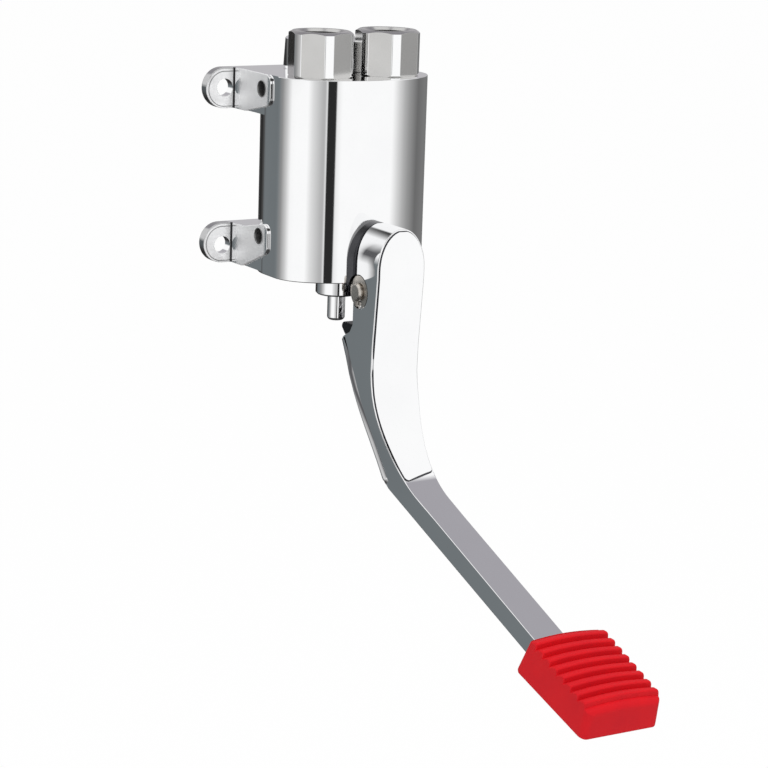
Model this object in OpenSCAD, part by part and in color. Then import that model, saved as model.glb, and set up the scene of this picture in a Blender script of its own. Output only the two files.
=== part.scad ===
// Wall mounted foot pedal mixing valve. Millimetres, +Z up, the wall is the plane Y = 0 and the valve stands on its -Y
// side. The origin is the centre of the four wall screws. Two inlets and one mixed outlet stand on top of the body.

/* [Body] */
// Width of the valve body over its sides
body_w = 74; // [70:1:84]
// Height of the valve body
body_h = 90; // [86:1:110]
// Depth of the front curve ahead of the flanks
front_bulge = 25; // [22:1:32]
// Depth of the rear curve behind the flanks
rear_bulge = 29.5; // [27:0.5:29.5]
// Distance from the wall to where the front curve starts
flank_front = 44; // [42:1:46]
// Distance from the wall to where the rear curve starts
flank_rear = 34; // [32:1:40]

/* [Wall ears] */
// Width between wall screws
ear_pitch_x = 86; // [84:1:100]
// Height between wall screws
ear_pitch_z = 72; // [66:1:74]
// Wall screw hole diameter
ear_hole_d = 8; // [5:0.5:9]
// Height of an ear
ear_h = 18.4; // [16:0.2:20]
// Thickness of an ear
ear_t = 5; // [4:0.5:7]
// Distance from a wall screw to the ear's round end
ear_end = 9.5; // [8:0.5:12]
// Width of the arms that join the column to the ears
arm_block_w = 77; // [76:0.5:80]
// Distance from the wall to the front end of a side tab
tab_front = 38.6; // [36:0.2:43]
// Height of the round end of a side tab
tab_end_h = 13.4; // [11:0.2:15]
// Rise of the lower tabs' round ends above their ears
tab_rise = 4.6; // [0:0.2:6]
// Diameter of the blind hole in a side tab
tab_hole_d = 5.5; // [4:0.5:6]
// Depth of the blind hole in a side tab
tab_hole_deep = 7; // [5:1:9]
// Distance from the wall to the hole in a side tab
tab_hole_reach = 31; // [29:1:33]

/* [Inlets] */
// Distance between the hot and cold inlets
inlet_pitch = 34; // [33:0.5:36]
// Distance from the wall to the inlets
inlet_reach = 46; // [45:0.5:48]
// Inlet hexagon across flats
hex_af = 27; // [26:0.5:28]
// Diameter that the hexagon's corners are turned to
hex_corner_d = 29.2; // [28.6:0.2:31]
// Turn of the hexagons about their own axes
hex_turn = 16; // [0:1:30]
// Height of the inlet hexagon
union_h = 20; // [18:0.5:26]
// Bore of the female pipe thread, its crest diameter
port_d = 18.63; // [17:0.01:19]
// Depth of the female pipe thread
port_deep = 13; // [10:0.5:14]
// Water way below the pipe thread
union_bore_d = 13; // [11:0.5:14]
// Lip under the non-return valve
union_lip_d = 9; // [7:0.5:10]
// Spigot that screws into the body
spigot_d = 20.4; // [19:0.2:21]
// Length of the spigot
spigot_l = 12; // [10:0.5:14]
// Thickness of the sealing washers under the spigots
gasket_t = 1; // [0.8:0.1:2]

/* [Outlet] */
// Distance from the wall to the mixed outlet
outlet_reach = 18.4; // [18.2:0.1:19]
// Outlet socket diameter at its foot
outlet_d = 36.4; // [33:0.2:36.4]
// Outlet socket diameter at its top
outlet_top_d = 35; // [31:0.2:36]
// Height of the outlet socket
outlet_h = 14; // [12:0.5:18]
// Bore of the outlet's female pipe thread, its crest diameter
outlet_port_d = 24.12; // [18:0.01:25]
// Depth of the outlet thread
outlet_port_deep = 11; // [8:0.5:12]
// Spigot of the outlet
outlet_spigot_d = 24.4; // [22:0.2:24.4]
// Length of the outlet spigot
outlet_spigot_l = 10; // [8:0.5:12]
// Water way through the outlet
outlet_bore_d = 15; // [12:0.5:16]

/* [Valve cartridges] */
// Distance between the two cartridges
cartridge_pitch = 22; // [21:0.5:24]
// Distance from the wall to the cartridges
cartridge_reach = 55.5; // [54:0.5:56]
// Bore of the body for a cartridge
cartridge_bore_d = 16; // [15:0.5:17]
// Diameter of a cartridge's round flange
flange_d = 19; // [18:0.5:20]
// Thickness of a cartridge's flange
flange_t = 6.6; // [5:0.1:8]
// Length of a cartridge inside the body
cartridge_l = 31; // [29:0.5:34]
// Diameter of the push rod
rod_d = 8; // [7:0.5:9]
// Part of the push rod that stands out below its flange
rod_nose = 11.9; // [11:0.1:13]
// Bore of the valve seat
seat_d = 9; // [8:0.5:10]
// Diameter of the valve washer
washer_d = 12.6; // [12:0.2:13.4]
// Mean diameter of the closing spring
spring_d = 11; // [10:0.5:12]
// Wire of the closing spring
spring_wire = 1.2; // [0.8:0.1:1.6]
// Turns of the closing spring
spring_turns = 6; // [4:1:9]

/* [Pivot] */
// Distance from the wall to the lever's pin
pin_reach = 77; // [76:0.5:79]
// Depth of the pin below the wall screws' centre
pin_drop = 47; // [46:0.5:50]
// Diameter of the pin
pin_d = 8; // [7:0.5:9]
// Length of pin that stands out of each cheek
pin_out = 2; // [1:0.5:3]
// Diameter of the spring clips on the pin
clip_d = 14.6; // [12:0.2:15]
// Thickness of the spring clips
clip_t = 1.2; // [0.8:0.1:1.4]
// Outside diameter of the pivot bushes
bush_d = 10; // [9.5:0.5:10.5]
// Thickness of a bush's flange
bush_flange_t = 0.8; // [0.5:0.1:1]

/* [Lever] */
// Width of the lever's head
lever_w = 24; // [24:0.5:27]
// Thickness of the lever's cheeks
cheek_t = 3; // [2.5:0.1:3.2]
// Distance from the wall to the front of the lever's head, without its raised panel
head_front = 92.6; // [91:0.2:95]
// Distance from the wall to the back of the cheeks
head_back = 74; // [73.5:0.5:75]
// Height of the lever's head above the pin
head_rise = 30; // [28:0.5:32]
// Height of the pointed round top of the head
arch_h = 18; // [14:0.5:20]
// Distance from the wall to the front of the lever where the long bend starts
neck_front = 89.4; // [88:0.2:91]
// Distance from the wall to the heel's corner below the cheeks
heel_reach = 62.4; // [62:0.2:66]
// Depth of the heel's corner below the pin
heel_drop = 23; // [22:0.5:26]
// Distance from the wall to the knee at the back of the bend
knee_reach = 98.5; // [96:0.5:102]
// Radius of the knee
knee_r = 9; // [6:0.5:14]
// Width of the arm where the bend ends
arm_w = 15; // [13:0.5:17]
// Width of the arm at the pedal
arm_end_w = 13.4; // [12:0.2:15]
// Thickness of the arm
arm_t = 10; // [8:0.5:12]
// Slope of the arm below level
arm_slope = 20.5; // [17:0.5:24]
// Radius of the long front bend
bend_r = 57.4; // [50:0.2:65]
// Depth of the front bend's start below the wall screws' centre
bend_drop = 77; // [75:1:84]
// Length of the arm from the bend to the pedal pad
arm_l = 104; // [80:0.5:130]
// Height of the raised front panel above the lever's front
panel_t = 0.8; // [0.5:0.1:1.5]
// Margin between the panel and the lever's edges
panel_edge = 0.9; // [0.6:0.1:2]
// Angle, in degrees of the bend, by which the panel ends short of the arm
panel_short = 15; // [8:1:20]

/* [Pedal] */
// Length of the rubber pad
pad_l = 51.5; // [44:0.5:70]
// Width of the rubber pad at its foot
pad_w = 37; // [34:0.5:50]
// Width of the rubber pad at its ribbed top
pad_top_w = 35.5; // [30:0.5:44]
// Thickness of the pad at its back end, ribs included
pad_back_h = 19.5; // [17:0.5:21]
// Thickness of the pad at its front end, ribs included
pad_front_h = 15.5; // [13.5:0.5:17]
// Turn of the pad up from the arm's slope
pad_tilt = 4.5; // [0:0.5:6]
// Radius of the pad's upright corners
pad_corner = 3.5; // [2:0.5:5]
// Number of ribs
rib_count = 8; // [5:1:10]
// Height of a rib
rib_h = 2.2; // [1.6:0.1:2.6]
// Width of the steel plate inside the pad
plate_w = 27; // [22:1:29]
// Thickness of the plate
plate_t = 5; // [4:0.5:6]

/* [Hidden] */
$fn = 96;
fit = 0.03;
run_fit = 0.05;
apart = 0.3;
eps = 0.01;

body_top = body_h / 2;
body_bottom = -body_h / 2;
front_y = -(flank_front + front_bulge);
ear_x = ear_pitch_x / 2;
ear_z = ear_pitch_z / 2;
upper_low = body_top - ear_h;
lower_lift = 0.8;
lower_low = body_bottom + lower_lift;
relief_deep = 2;
relief_wall = 4.5;
tab_round = 4;
tab_slope_reach = 0.4 * tab_front;
edge_cut = 0.8;

inlet_x = inlet_pitch / 2;
union_top = body_top + union_h;
spigot_z = body_top - spigot_l;
gasket_wide = 2.4;
chamfer_rise = 1.1;
filter_t = 1.6;
filter_d = 16;
filter_wide = 1.5;
filter_z = union_top - port_deep - filter_t - fit;
mesh_t = 0.6;
mesh_wire = 0.5;
mesh_pitch = 2.4;
check_l = 11;
check_wall = 1;
poppet_d = 8.4;
poppet_t = 1.5;
passage_d = 13;
passage_lap = 8;

outlet_spigot_z = body_top - outlet_spigot_l;
riser_d = 16;
gallery_d = 8;

cart_x = cartridge_pitch / 2;
cart_y = -cartridge_reach;
cart_r = cartridge_bore_d / 2 - fit;
flange_z = body_bottom - flange_t;
cart_top = body_bottom + cartridge_l;
chamber_h = 29;
chamber_top = cart_top + chamber_h;
guide_l = 14;
guide_top = body_bottom + guide_l;
cage_r = 6;
window_d = 6;
window_z = guide_top + 5;
seat_t = 2.5;
seat_rim = 0.5;
seat_lip = 0.5;
oring_d = 1.6;
rod_ring_rise = 8;
rod_ring_z = body_bottom + rod_ring_rise;
rod_tip = flange_z - rod_nose;
rod_round = 1.6;
spindle_d = 5;
washer_t = 2;
washer_z = cart_top + seat_lip + fit;
carrier_t = 2;
carrier_hex = 8;
spring_z = washer_z + washer_t + carrier_t;
outer_ring_z = cart_top - seat_t - oring_d - 0.4;

pin_y = -pin_reach;
pin_z = -pin_drop;
lug_w = lever_w - 2 * (cheek_t + bush_flange_t + run_fit);
boss_back = 62;
boss_edge = 1;
boss_w = lever_w + 2 * boss_edge;
boss_top = pin_z + head_rise - apart;
lug_round = 6.5;
lug_rise = 17;
lug_low = 6.2;
clip_gap = 0.3;
clip_pocket_d = clip_d + 0.9;
clip_pocket_deep = clip_t + clip_gap;
clip_groove = 0.8;
clip_mouth = 4.6;

head_top = pin_z + head_rise;
arch_z = head_top - arch_h;
arch_steps = 20;
crown_r = 1.6;
hood_wall = 4;
hood_top = head_top - hood_wall;
hood_front = head_front - hood_wall;
hood_r = 4;
hood_mouth = 8;
hood_drop = 9.5;
hood_floor = pin_z - hood_drop;
cheek_step = 2;
notch_back = head_back - cheek_step;
notch_drop = 15.5;
notch_low = pin_z - notch_drop;
web_back = head_back + 2;
heel_z = pin_z - heel_drop;
heel_r = 1.2;
eye_d = bush_d + 2.6;
heel_lip_reach = 7.2;
heel_lip_rise = 4;
heel_lip = [-(heel_reach + heel_lip_reach), heel_z + heel_lip_rise];
nose_w = 18.4;
nose_r = 2.4;
nose_end = 57.8;
nose_deep = 5;
nose_top = rod_tip - apart;
bend_y = -(neck_front + bend_r);
bend_z = -bend_drop;
bend_turn = 90 - arm_slope;
bend_end = [bend_y + bend_r * cos(bend_turn), bend_z - bend_r * sin(bend_turn)];
arm_end_t = 8.7;
lever_reach = neck_front + bend_r + arm_l + pad_l;
waist_drop = 12;
waist_run = 6;
waist_top = bend_z - waist_drop;
waist_low = bend_end[1] - waist_run;
panel_r = bend_r - panel_t;
panel_turn = bend_turn - panel_short;
panel_deep = 2;

plate_short = 3.5;
plate_low = 2.8;
plate_end = 4;
arm_hold = 6;
pad_foot = 2;
pad_back_lean = 3.6;
pad_front_lean = 0.8;
pad_back_round = 1.5;
pad_front_round = 3;
rib_first = 4.6;
rib_last = 4;
rib_pitch = (pad_l - rib_first - rib_last) / rib_count;
rib_steep = 0.6;
rib_rise = 2.2;
rib_dip = 0.7;
rib_round = 0.8;

// Points of an arc about (cx, cy) from angle a0 to a1 in n steps
function arc(cx, cy, r, a0, a1, n) = [
    for (i = [0 : n])
        let (a = a0 + (a1 - a0) * i / n)
        [cx + r * cos(a), cy + r * sin(a)]
];

// Points of the corner b between a and c, turned with radius b[2]
function corner(a, b, c, n) =
    let (
        u = unit([a[0] - b[0], a[1] - b[1]]),
        v = unit([c[0] - b[0], c[1] - b[1]]),
        half = acos(u * v) / 2,
        mid = [b[0], b[1]] + unit(u + v + [0, 1e-9]) * b[2] / sin(half),
        from = [b[0], b[1]] + u * b[2] / tan(half) - mid,
        to = [b[0], b[1]] + v * b[2] / tan(half) - mid,
        a0 = atan2(from[1], from[0]),
        sweep = (atan2(to[1], to[0]) - a0 + 540) % 360 - 180
    )
    norm(u + v) < 0.001
        ? [[b[0], b[1]]]
        : [for (i = [0 : n]) mid + b[2] * [cos(a0 + sweep * i / n), sin(a0 + sweep * i / n)]];

function unit(v) = v / norm(v);

// Outline from points [y, z, radius], each corner turned with its own radius
function rounded(p) = [
    for (i = [0 : len(p) - 1])
        for (q = len(p[i]) > 2 && p[i][2] > 0
            ? corner(p[(i + len(p) - 1) % len(p)], p[i], p[(i + 1) % len(p)], 6)
            : [[p[i][0], p[i][1]]])
        q
];

// Half width of the lever at a height: the head's full width, then a waist down to the arm
function lever_half(z) =
    let (t = max(0, min(1, (waist_top - z) / (waist_top - waist_low))))
    (lever_w - (lever_w - arm_w) * t * t * (3 - 2 * t)) / 2;

// A place in (Y, Z) that lies l along the arm's top from the bend and n above it
function on_arm(l, n) = bend_end + l * [-cos(arm_slope), -sin(arm_slope)] + n * [-sin(arm_slope), cos(arm_slope)];

// Sets a profile drawn in (Y, Z) to run along X, centred on X = 0
module along_x(w) {
    rotate([90, 0, 90])
        translate([0, 0, -w / 2])
            linear_extrude(w) children();
}

// Sets a profile drawn in (X, Z) to run along Y from y0 to y1
module along_y(y0, y1) {
    translate([0, y1, 0])
        rotate([90, 0, 0])
            linear_extrude(y1 - y0) children();
}

module ring(d_out, d_in, h) {
    difference() {
        cylinder(d = d_out, h = h);
        translate([0, 0, -1]) cylinder(d = d_in, h = h + 2);
    }
}

module at_inlet(side) {
    translate([side * inlet_x, -inlet_reach, 0]) children();
}

module at_cartridge(side) {
    translate([side * cart_x, cart_y, 0]) children();
}

// The column's plan: an oval front, flat flanks and an oval back
module column_plan() {
    intersection() {
        union() {
            translate([0, -flank_front]) scale([body_w / 2 / front_bulge, 1]) circle(r = front_bulge);
            translate([-body_w / 2, -flank_front]) square([body_w, flank_front - flank_rear]);
            translate([0, -flank_rear]) scale([body_w / 2 / rear_bulge, 1]) circle(r = rear_bulge);
        }
        translate([-body_w / 2, front_y - 1]) square([body_w, -front_y + 1]);
    }
}

// One ear with its round end, drawn in (X, Z) about the wall screw
module ear_outline() {
    circle_r = ear_h / 2;
    union() {
        translate([ear_end - circle_r, 0]) circle(r = circle_r);
        translate([-(ear_x - arm_block_w / 2) - 1, -circle_r])
            square([ear_x - arm_block_w / 2 + 1 + ear_end - circle_r, ear_h]);
    }
}

// Side view, in (Y, Z), of the arm that joins the column to one pair of ears, with its tab's round front end
module arm_side(low, end_low) {
    polygon(rounded([
        [0, low + ear_h, 0],
        [0, low, 0],
        [-tab_slope_reach, low, tab_round],
        [-tab_front, end_low, tab_round],
        [-tab_front, end_low + tab_end_h, tab_round],
        [-tab_slope_reach, low + ear_h, tab_round]
    ]));
}

// Web that carries the column's flat flanks back to the wall along an arm
module arm_web(low) {
    translate([-body_w / 2, -flank_rear - 1, low]) cube([body_w, flank_rear + 1, ear_h]);
}

// Both ears of one arm; low is the arm's underside and end_low that of its tabs
module ear_pair(low, end_low) {
    along_x(arm_block_w) arm_side(low, end_low);
    arm_web(low);
    for (side = [-1, 1])
        translate([side * ear_x, 0, low + ear_h / 2])
            along_y(-ear_t, 0) scale([side, 1]) ear_outline();
}

// Wall screw holes at height hole_z and the shallow relief in the back
module ear_cuts(low, hole_z) {
    for (side = [-1, 1])
        translate([side * ear_x, 1, hole_z])
            rotate([90, 0, 0]) cylinder(d = ear_hole_d, h = ear_t + 2);
    translate([0, -relief_deep, low + relief_wall])
        translate([-arm_block_w / 2 + relief_wall, 0, 0])
            cube([arm_block_w - 2 * relief_wall, relief_deep + 1, ear_h - 2 * relief_wall]);
}

// Points of a pointed round arch from its right foot over the top to its left foot, half wide and rise high
function arch(half, rise, foot_z) = [
    for (i = [0 : arch_steps])
        [half * cos(180 * i / arch_steps), foot_z + rise * sin(180 * i / arch_steps)]
];

// Arch that stands proud of the body's front behind the lever's head
module boss_arch() {
    polygon(concat(
        [[-boss_w / 2, body_bottom], [boss_w / 2, body_bottom]],
        arch(boss_w / 2, arch_h, boss_top - arch_h)
    ));
}

// Lug that carries the pin, in (Y, Z)
module lug_side() {
    flange_front = cartridge_reach + flange_d / 2 + apart;
    polygon(rounded([
        [-boss_back, pin_z + lug_rise, 0],
        [pin_y - lug_round, pin_z + lug_rise, 4],
        [pin_y - lug_round, pin_z - lug_low, lug_round - 0.2],
        [pin_y + lug_round + 1, pin_z - lug_low, 3],
        [-flange_front, body_bottom, 0],
        [-boss_back, body_bottom, 0]
    ]));
}

// Place of a tab's blind hole: its mouth on an arm's outer face
module at_tab_holes() {
    for (side = [-1, 1])
        for (z = [body_top - tab_end_h / 2, lower_low + ear_h + tab_rise - tab_end_h / 2])
            translate([side * arm_block_w / 2, -tab_hole_reach, z])
                rotate([0, -side * 90, 0]) children();
}

// Spot face round the lug, which leaves room for the bush flanges, the lever's eyes and the pin's clips
module lug_spot_face() {
    for (side = [-1, 1])
        translate([side * lever_w, pin_y, pin_z]) rotate([0, -side * 90, 0])
            cylinder(d = clip_pocket_d, h = lever_w - lug_w / 2);
}

// Water ways and bores drilled into the column
module water_ways() {
    for (side = [-1, 1]) {
        at_inlet(side) {
            translate([0, 0, spigot_z - gasket_t])
                cylinder(d = spigot_d + 2 * fit, h = spigot_l + gasket_t + 1);
            translate([0, 0, chamber_top - passage_lap])
                cylinder(d = passage_d, h = spigot_z - chamber_top + passage_lap);
        }
        at_cartridge(side) {
            translate([0, 0, body_bottom - 1])
                cylinder(d = cartridge_bore_d, h = chamber_top - body_bottom + 1);
            translate([0, 0, window_z]) rotate([-90, 0, 0])
                cylinder(d = gallery_d, h = cartridge_reach - outlet_reach);
        }
    }
    translate([-cart_x, -outlet_reach, window_z])
        rotate([0, 90, 0]) cylinder(d = gallery_d, h = cartridge_pitch);
    translate([0, -outlet_reach, window_z]) cylinder(d = riser_d, h = outlet_spigot_z - window_z);
    translate([0, -outlet_reach, outlet_spigot_z - gasket_t])
        cylinder(d = outlet_spigot_d + 2 * fit, h = outlet_spigot_l + gasket_t + 1);
}

// Casting: oval column with both pairs of ears, the arched boss and the pin's lug
module valve_body() {
    color([0.86, 0.87, 0.88])
    difference() {
        union() {
            translate([0, 0, body_bottom]) linear_extrude(body_h) column_plan();
            ear_pair(upper_low, body_top - tab_end_h);
            ear_pair(lower_low, lower_low + ear_h - tab_end_h + tab_rise);
            along_y(-(head_back - apart), -boss_back) boss_arch();
            along_x(lug_w) lug_side();
        }
        ear_cuts(upper_low, ear_z);
        ear_cuts(lower_low, -ear_z);
        at_tab_holes() translate([0, 0, -1]) cylinder(d = tab_hole_d, h = tab_hole_deep + 1);
        water_ways();
        lug_spot_face();
        translate([-lug_w, pin_y, pin_z]) rotate([0, 90, 0]) cylinder(d = pin_d + 2 * fit, h = 2 * lug_w);
    }
}

// Hexagon with its corners turned off and both ends chamfered
module turned_hex(af, corner_d, h) {
    intersection() {
        rotate([0, 0, hex_turn]) cylinder(d = af / cos(30), h = h, $fn = 6);
        union() {
            cylinder(d = corner_d, h = h - chamfer_rise);
            translate([0, 0, h - chamfer_rise - eps])
                cylinder(d1 = corner_d, d2 = corner_d - 2 * chamfer_rise * 1.6, h = chamfer_rise + eps);
        }
    }
}

module inlet_union(side) {
    at_inlet(side)
    difference() {
        union() {
            translate([0, 0, body_top]) turned_hex(hex_af, hex_corner_d, union_h);
            translate([0, 0, spigot_z]) cylinder(d = spigot_d, h = spigot_l + 1);
        }
        translate([0, 0, union_top - port_deep]) cylinder(d = port_d, h = port_deep + 1);
        translate([0, 0, filter_z]) cylinder(d = filter_d, h = port_deep);
        translate([0, 0, spigot_z + 2]) cylinder(d = union_bore_d, h = union_h + spigot_l);
        translate([0, 0, spigot_z - 1]) cylinder(d = union_lip_d, h = 4);
    }
}

module inlet_gasket(side) {
    at_inlet(side) translate([0, 0, spigot_z - gasket_t])
        ring(spigot_d, spigot_d - 2 * gasket_wide, gasket_t);
}

// Rubber rimmed strainer in its seat below the pipe thread
module inlet_filter(side) {
    at_inlet(side) translate([0, 0, filter_z]) {
        union() {
            union() {
                ring(filter_d - 2 * fit, filter_d - 2 * filter_wide, filter_t);
                translate([0, 0, (filter_t - mesh_t) / 2]) intersection() {
                    cylinder(d = filter_d - 2 * filter_wide + 1, h = mesh_t);
                    union() {
                        for (i = [-3 : 3]) {
                            translate([i * mesh_pitch - mesh_wire / 2, -filter_d / 2, 0])
                                cube([mesh_wire, filter_d, mesh_t]);
                            translate([-filter_d / 2, i * mesh_pitch - mesh_wire / 2, 0])
                                cube([filter_d, mesh_wire, mesh_t]);
                        }
                    }
                }
            }
        }
    }
}

// Non-return valve housing, a sleeve with an inner seat at its top
module check_valve(side) {
    at_inlet(side) translate([0, 0, spigot_z + 2])
    difference() {
        cylinder(d = union_bore_d - 2 * fit, h = check_l);
        translate([0, 0, -1]) cylinder(d = union_bore_d - 2 * fit - 2 * check_wall, h = check_l - 1.5);
        translate([0, 0, check_l - 3]) cylinder(d = poppet_d - 1.6, h = 4);
    }
}

// Non-return poppet with its guide stem and the cross that the stem slides in
module check_poppet(side) {
    inner_d = union_bore_d - 2 * fit - 2 * check_wall;
    at_inlet(side) translate([0, 0, spigot_z + 2]) {
        translate([0, 0, check_l - 2.5 - poppet_t]) cylinder(d = poppet_d, h = poppet_t);
        translate([0, 0, 1]) cylinder(d = 2, h = check_l - 3.5);
        intersection() {
            cylinder(d = inner_d - 2 * fit, h = 2);
            union() {
                translate([-inner_d / 2, -0.6, 0]) cube([inner_d, 1.2, 1.6]);
                translate([-0.6, -inner_d / 2, 0]) cube([1.2, inner_d, 1.6]);
            }
        }
    }
}

module outlet_socket() {
    color([0.86, 0.87, 0.88])
    translate([0, -outlet_reach, 0])
    difference() {
        union() {
            translate([0, 0, body_top]) cylinder(d1 = outlet_d, d2 = outlet_top_d, h = outlet_h);
            translate([0, 0, outlet_spigot_z]) cylinder(d = outlet_spigot_d, h = outlet_spigot_l + 1);
        }
        translate([0, 0, body_top + outlet_h - outlet_port_deep]) cylinder(d = outlet_port_d, h = outlet_port_deep + 1);
        translate([0, 0, outlet_spigot_z - 1]) cylinder(d = outlet_bore_d, h = outlet_h + outlet_spigot_l);
    }
}

module outlet_gasket() {
    color([0.25, 0.22, 0.2])
    translate([0, -outlet_reach, outlet_spigot_z - gasket_t])
        ring(outlet_spigot_d, outlet_spigot_d - 2 * gasket_wide, gasket_t);
}

// Turned brass cartridge: round flange, rod guide, windowed cage and valve seat
module cartridge(side) {
    at_cartridge(side)
    difference() {
        union() {
            translate([0, 0, flange_z]) cylinder(d1 = flange_d - 2 * edge_cut, d2 = flange_d, h = edge_cut);
            translate([0, 0, flange_z + edge_cut]) cylinder(d = flange_d, h = flange_t - edge_cut);
            translate([0, 0, body_bottom - eps]) cylinder(r = cart_r, h = cartridge_l + eps);
            translate([0, 0, cart_top - eps]) ring(seat_d + 2 * seat_rim + 1, seat_d, seat_lip + eps);
        }
        translate([0, 0, flange_z - 1]) cylinder(d = rod_d + 2 * run_fit, h = flange_t + guide_top - body_bottom + 2);
        translate([0, 0, guide_top]) cylinder(r = cage_r, h = cart_top - seat_t - guide_top);
        translate([0, 0, cart_top - seat_t - 1]) cylinder(d = seat_d, h = seat_t + seat_lip + 2);
        translate([0, 0, rod_ring_z]) cylinder(d = rod_d + 3.6, h = oring_d + 0.4);
        for (turn = [0, 90])
            translate([0, 0, window_z]) rotate([0, 90, turn])
                cylinder(d = window_d, h = 4 * cart_r, center = true);
        translate([0, 0, outer_ring_z])
            difference() {
                cylinder(r = cart_r + 1, h = oring_d + 0.4);
                translate([0, 0, -1]) cylinder(r = cart_r - 1.5, h = oring_d + 3);
            }
    }
}

// Rubber ring of the given mean radius and section, lying at height z
module o_ring(r, d, z) {
    translate([0, 0, z]) rotate_extrude() translate([r, 0]) circle(d = d, $fn = 24);
}

module cartridge_ring(side) {
    section = 1.5 - fit;
    at_cartridge(side) o_ring(cart_r - section / 2 - fit / 2, section - fit, outer_ring_z + (oring_d + 0.4) / 2);
}

module rod_ring(side) {
    at_cartridge(side) o_ring(rod_d / 2 + oring_d / 2 + run_fit, oring_d, rod_ring_z + (oring_d + 0.4) / 2);
}

// Push rod: round nose for the lever's heel, guided shank and thin spindle through the seat
module push_rod(side) {
    shank_top = guide_top + 2;
    at_cartridge(side) {
        rotate_extrude() polygon(concat(
            [[0, rod_tip]],
            arc(rod_d / 2 - rod_round, rod_tip + rod_round, rod_round, 270, 360, 6),
            [[rod_d / 2, shank_top], [spindle_d / 2, shank_top + 1], [0, shank_top + 1]]
        ));
        translate([0, 0, shank_top]) cylinder(d = spindle_d, h = spring_z + 1 - shank_top);
        translate([0, 0, spring_z]) cylinder(d = spindle_d, h = 2);
    }
}

module valve_washer(side) {
    at_cartridge(side) translate([0, 0, washer_z]) ring(washer_d, spindle_d + 2 * fit, washer_t);
}

// Brass nut that holds the washer on the spindle and carries the closing spring
module washer_nut(side) {
    at_cartridge(side) translate([0, 0, washer_z + washer_t])
    difference() {
        union() {
            cylinder(d = washer_d + 0.4, h = carrier_t);
            cylinder(d = carrier_hex / cos(30), h = carrier_t + 1.6, $fn = 6);
        }
        translate([0, 0, -1]) cylinder(d = spindle_d + 2 * fit, h = carrier_t + 5);
    }
}

// Coil of round wire as one tube: sides points round the wire at each of steps places a turn
module coil(mean_d, wire, z0, z1, turns) {
    sides = 6;
    steps = 12;
    rise = z1 - z0 - wire;
    count = turns * steps;
    points = [
        for (i = [0 : count])
            for (j = [0 : sides - 1])
                let (a = 360 * i / steps, b = 360 * j / sides, t = i / count)
                [
                    (mean_d / 2 + wire / 2 * cos(b)) * cos(a),
                    (mean_d / 2 + wire / 2 * cos(b)) * sin(a),
                    z0 + wire / 2 + rise * t + wire / 2 * sin(b)
                ]
    ];
    walls = [
        for (i = [0 : count - 1])
            for (j = [0 : sides - 1])
                let (k = (j + 1) % sides)
                for (tri = [
                    [i * sides + j, (i + 1) * sides + k, i * sides + k],
                    [i * sides + j, (i + 1) * sides + j, (i + 1) * sides + k]
                ]) tri
    ];
    first = [for (j = [1 : sides - 2]) [0, j, j + 1]];
    last = [for (j = [1 : sides - 2]) [count * sides, count * sides + j + 1, count * sides + j]];
    polyhedron(points = points, faces = [for (f = concat(walls, first, last)) [f[0], f[1], f[2]]]);
}

module closing_spring(side) {
    at_cartridge(side) coil(spring_d, spring_wire, spring_z + fit, chamber_top - fit, spring_turns);
}

module pivot_pin() {
    pin_l = lever_w + 2 * pin_out;
    color([0.7, 0.69, 0.67])
    translate([-pin_l / 2, pin_y, pin_z]) rotate([0, 90, 0])
    difference() {
        union() {
            cylinder(d1 = pin_d - 2 * edge_cut, d2 = pin_d, h = edge_cut);
            translate([0, 0, edge_cut]) cylinder(d = pin_d, h = pin_l - 2 * edge_cut);
            translate([0, 0, pin_l - edge_cut]) cylinder(d1 = pin_d, d2 = pin_d - 2 * edge_cut, h = edge_cut);
        }
        for (z = [pin_out - fit, pin_l - pin_out - clip_t - fit])
            translate([0, 0, z]) ring(pin_d + 2, pin_d - 2 * clip_groove, clip_t + 2 * fit);
    }
}

// Open spring clip in the pin's groove
module pin_clip(side) {
    outer = lever_w / 2;
    x0 = side < 0 ? -outer : outer - clip_t;
    color([0.42, 0.38, 0.35])
    translate([x0, pin_y, pin_z]) rotate([0, 90, 0])
    difference() {
        cylinder(d = clip_d, h = clip_t);
        translate([0, 0, -1]) cylinder(d = pin_d - 2 * clip_groove + 2 * fit, h = clip_t + 2);
        translate([0, -clip_mouth / 2, -1]) cube([clip_d, clip_mouth, clip_t + 2]);
    }
}

module pivot_bush(side) {
    inner = lug_w / 2 + run_fit;
    cheek_in = lever_w / 2 - cheek_t;
    length = cheek_t - clip_pocket_deep;
    color([0.3, 0.3, 0.3])
    translate([side * inner, pin_y, pin_z]) rotate([0, side * 90, 0])
    difference() {
        union() {
            cylinder(d = bush_d + 2, h = cheek_in - inner);
            cylinder(d = bush_d, h = cheek_in - inner + length);
        }
        translate([0, 0, -1]) cylinder(d = pin_d + 2 * run_fit, h = length + 10);
    }
}

// Side view of the lever in (Y, Z), without its pedal plate and raised panel
module lever_side() {
    knee = on_arm((knee_reach + bend_end[0]) / cos(arm_slope), 0) - [0, arm_t / cos(arm_slope)];
    polygon(concat(
        rounded([
            on_arm(arm_l + arm_hold, arm_hold * tan(pad_tilt) - arm_end_t),
            [knee[0], knee[1], knee_r],
            [-heel_reach, heel_z, heel_r],
            [heel_lip[0], heel_lip[1], 3],
            [-notch_back, notch_low, 3],
            [-notch_back, pin_z - 3, 0],
            [-head_back, pin_z + 2, 0],
            [-head_back, head_top, 0],
            [-head_front, head_top, crown_r],
            [-head_front, arch_z - 4, 0]
        ]),
        arc(bend_y, bend_z, bend_r, 0, -bend_turn, 14),
        [on_arm(arm_l + arm_hold, 0)]
    ));
}

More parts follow.
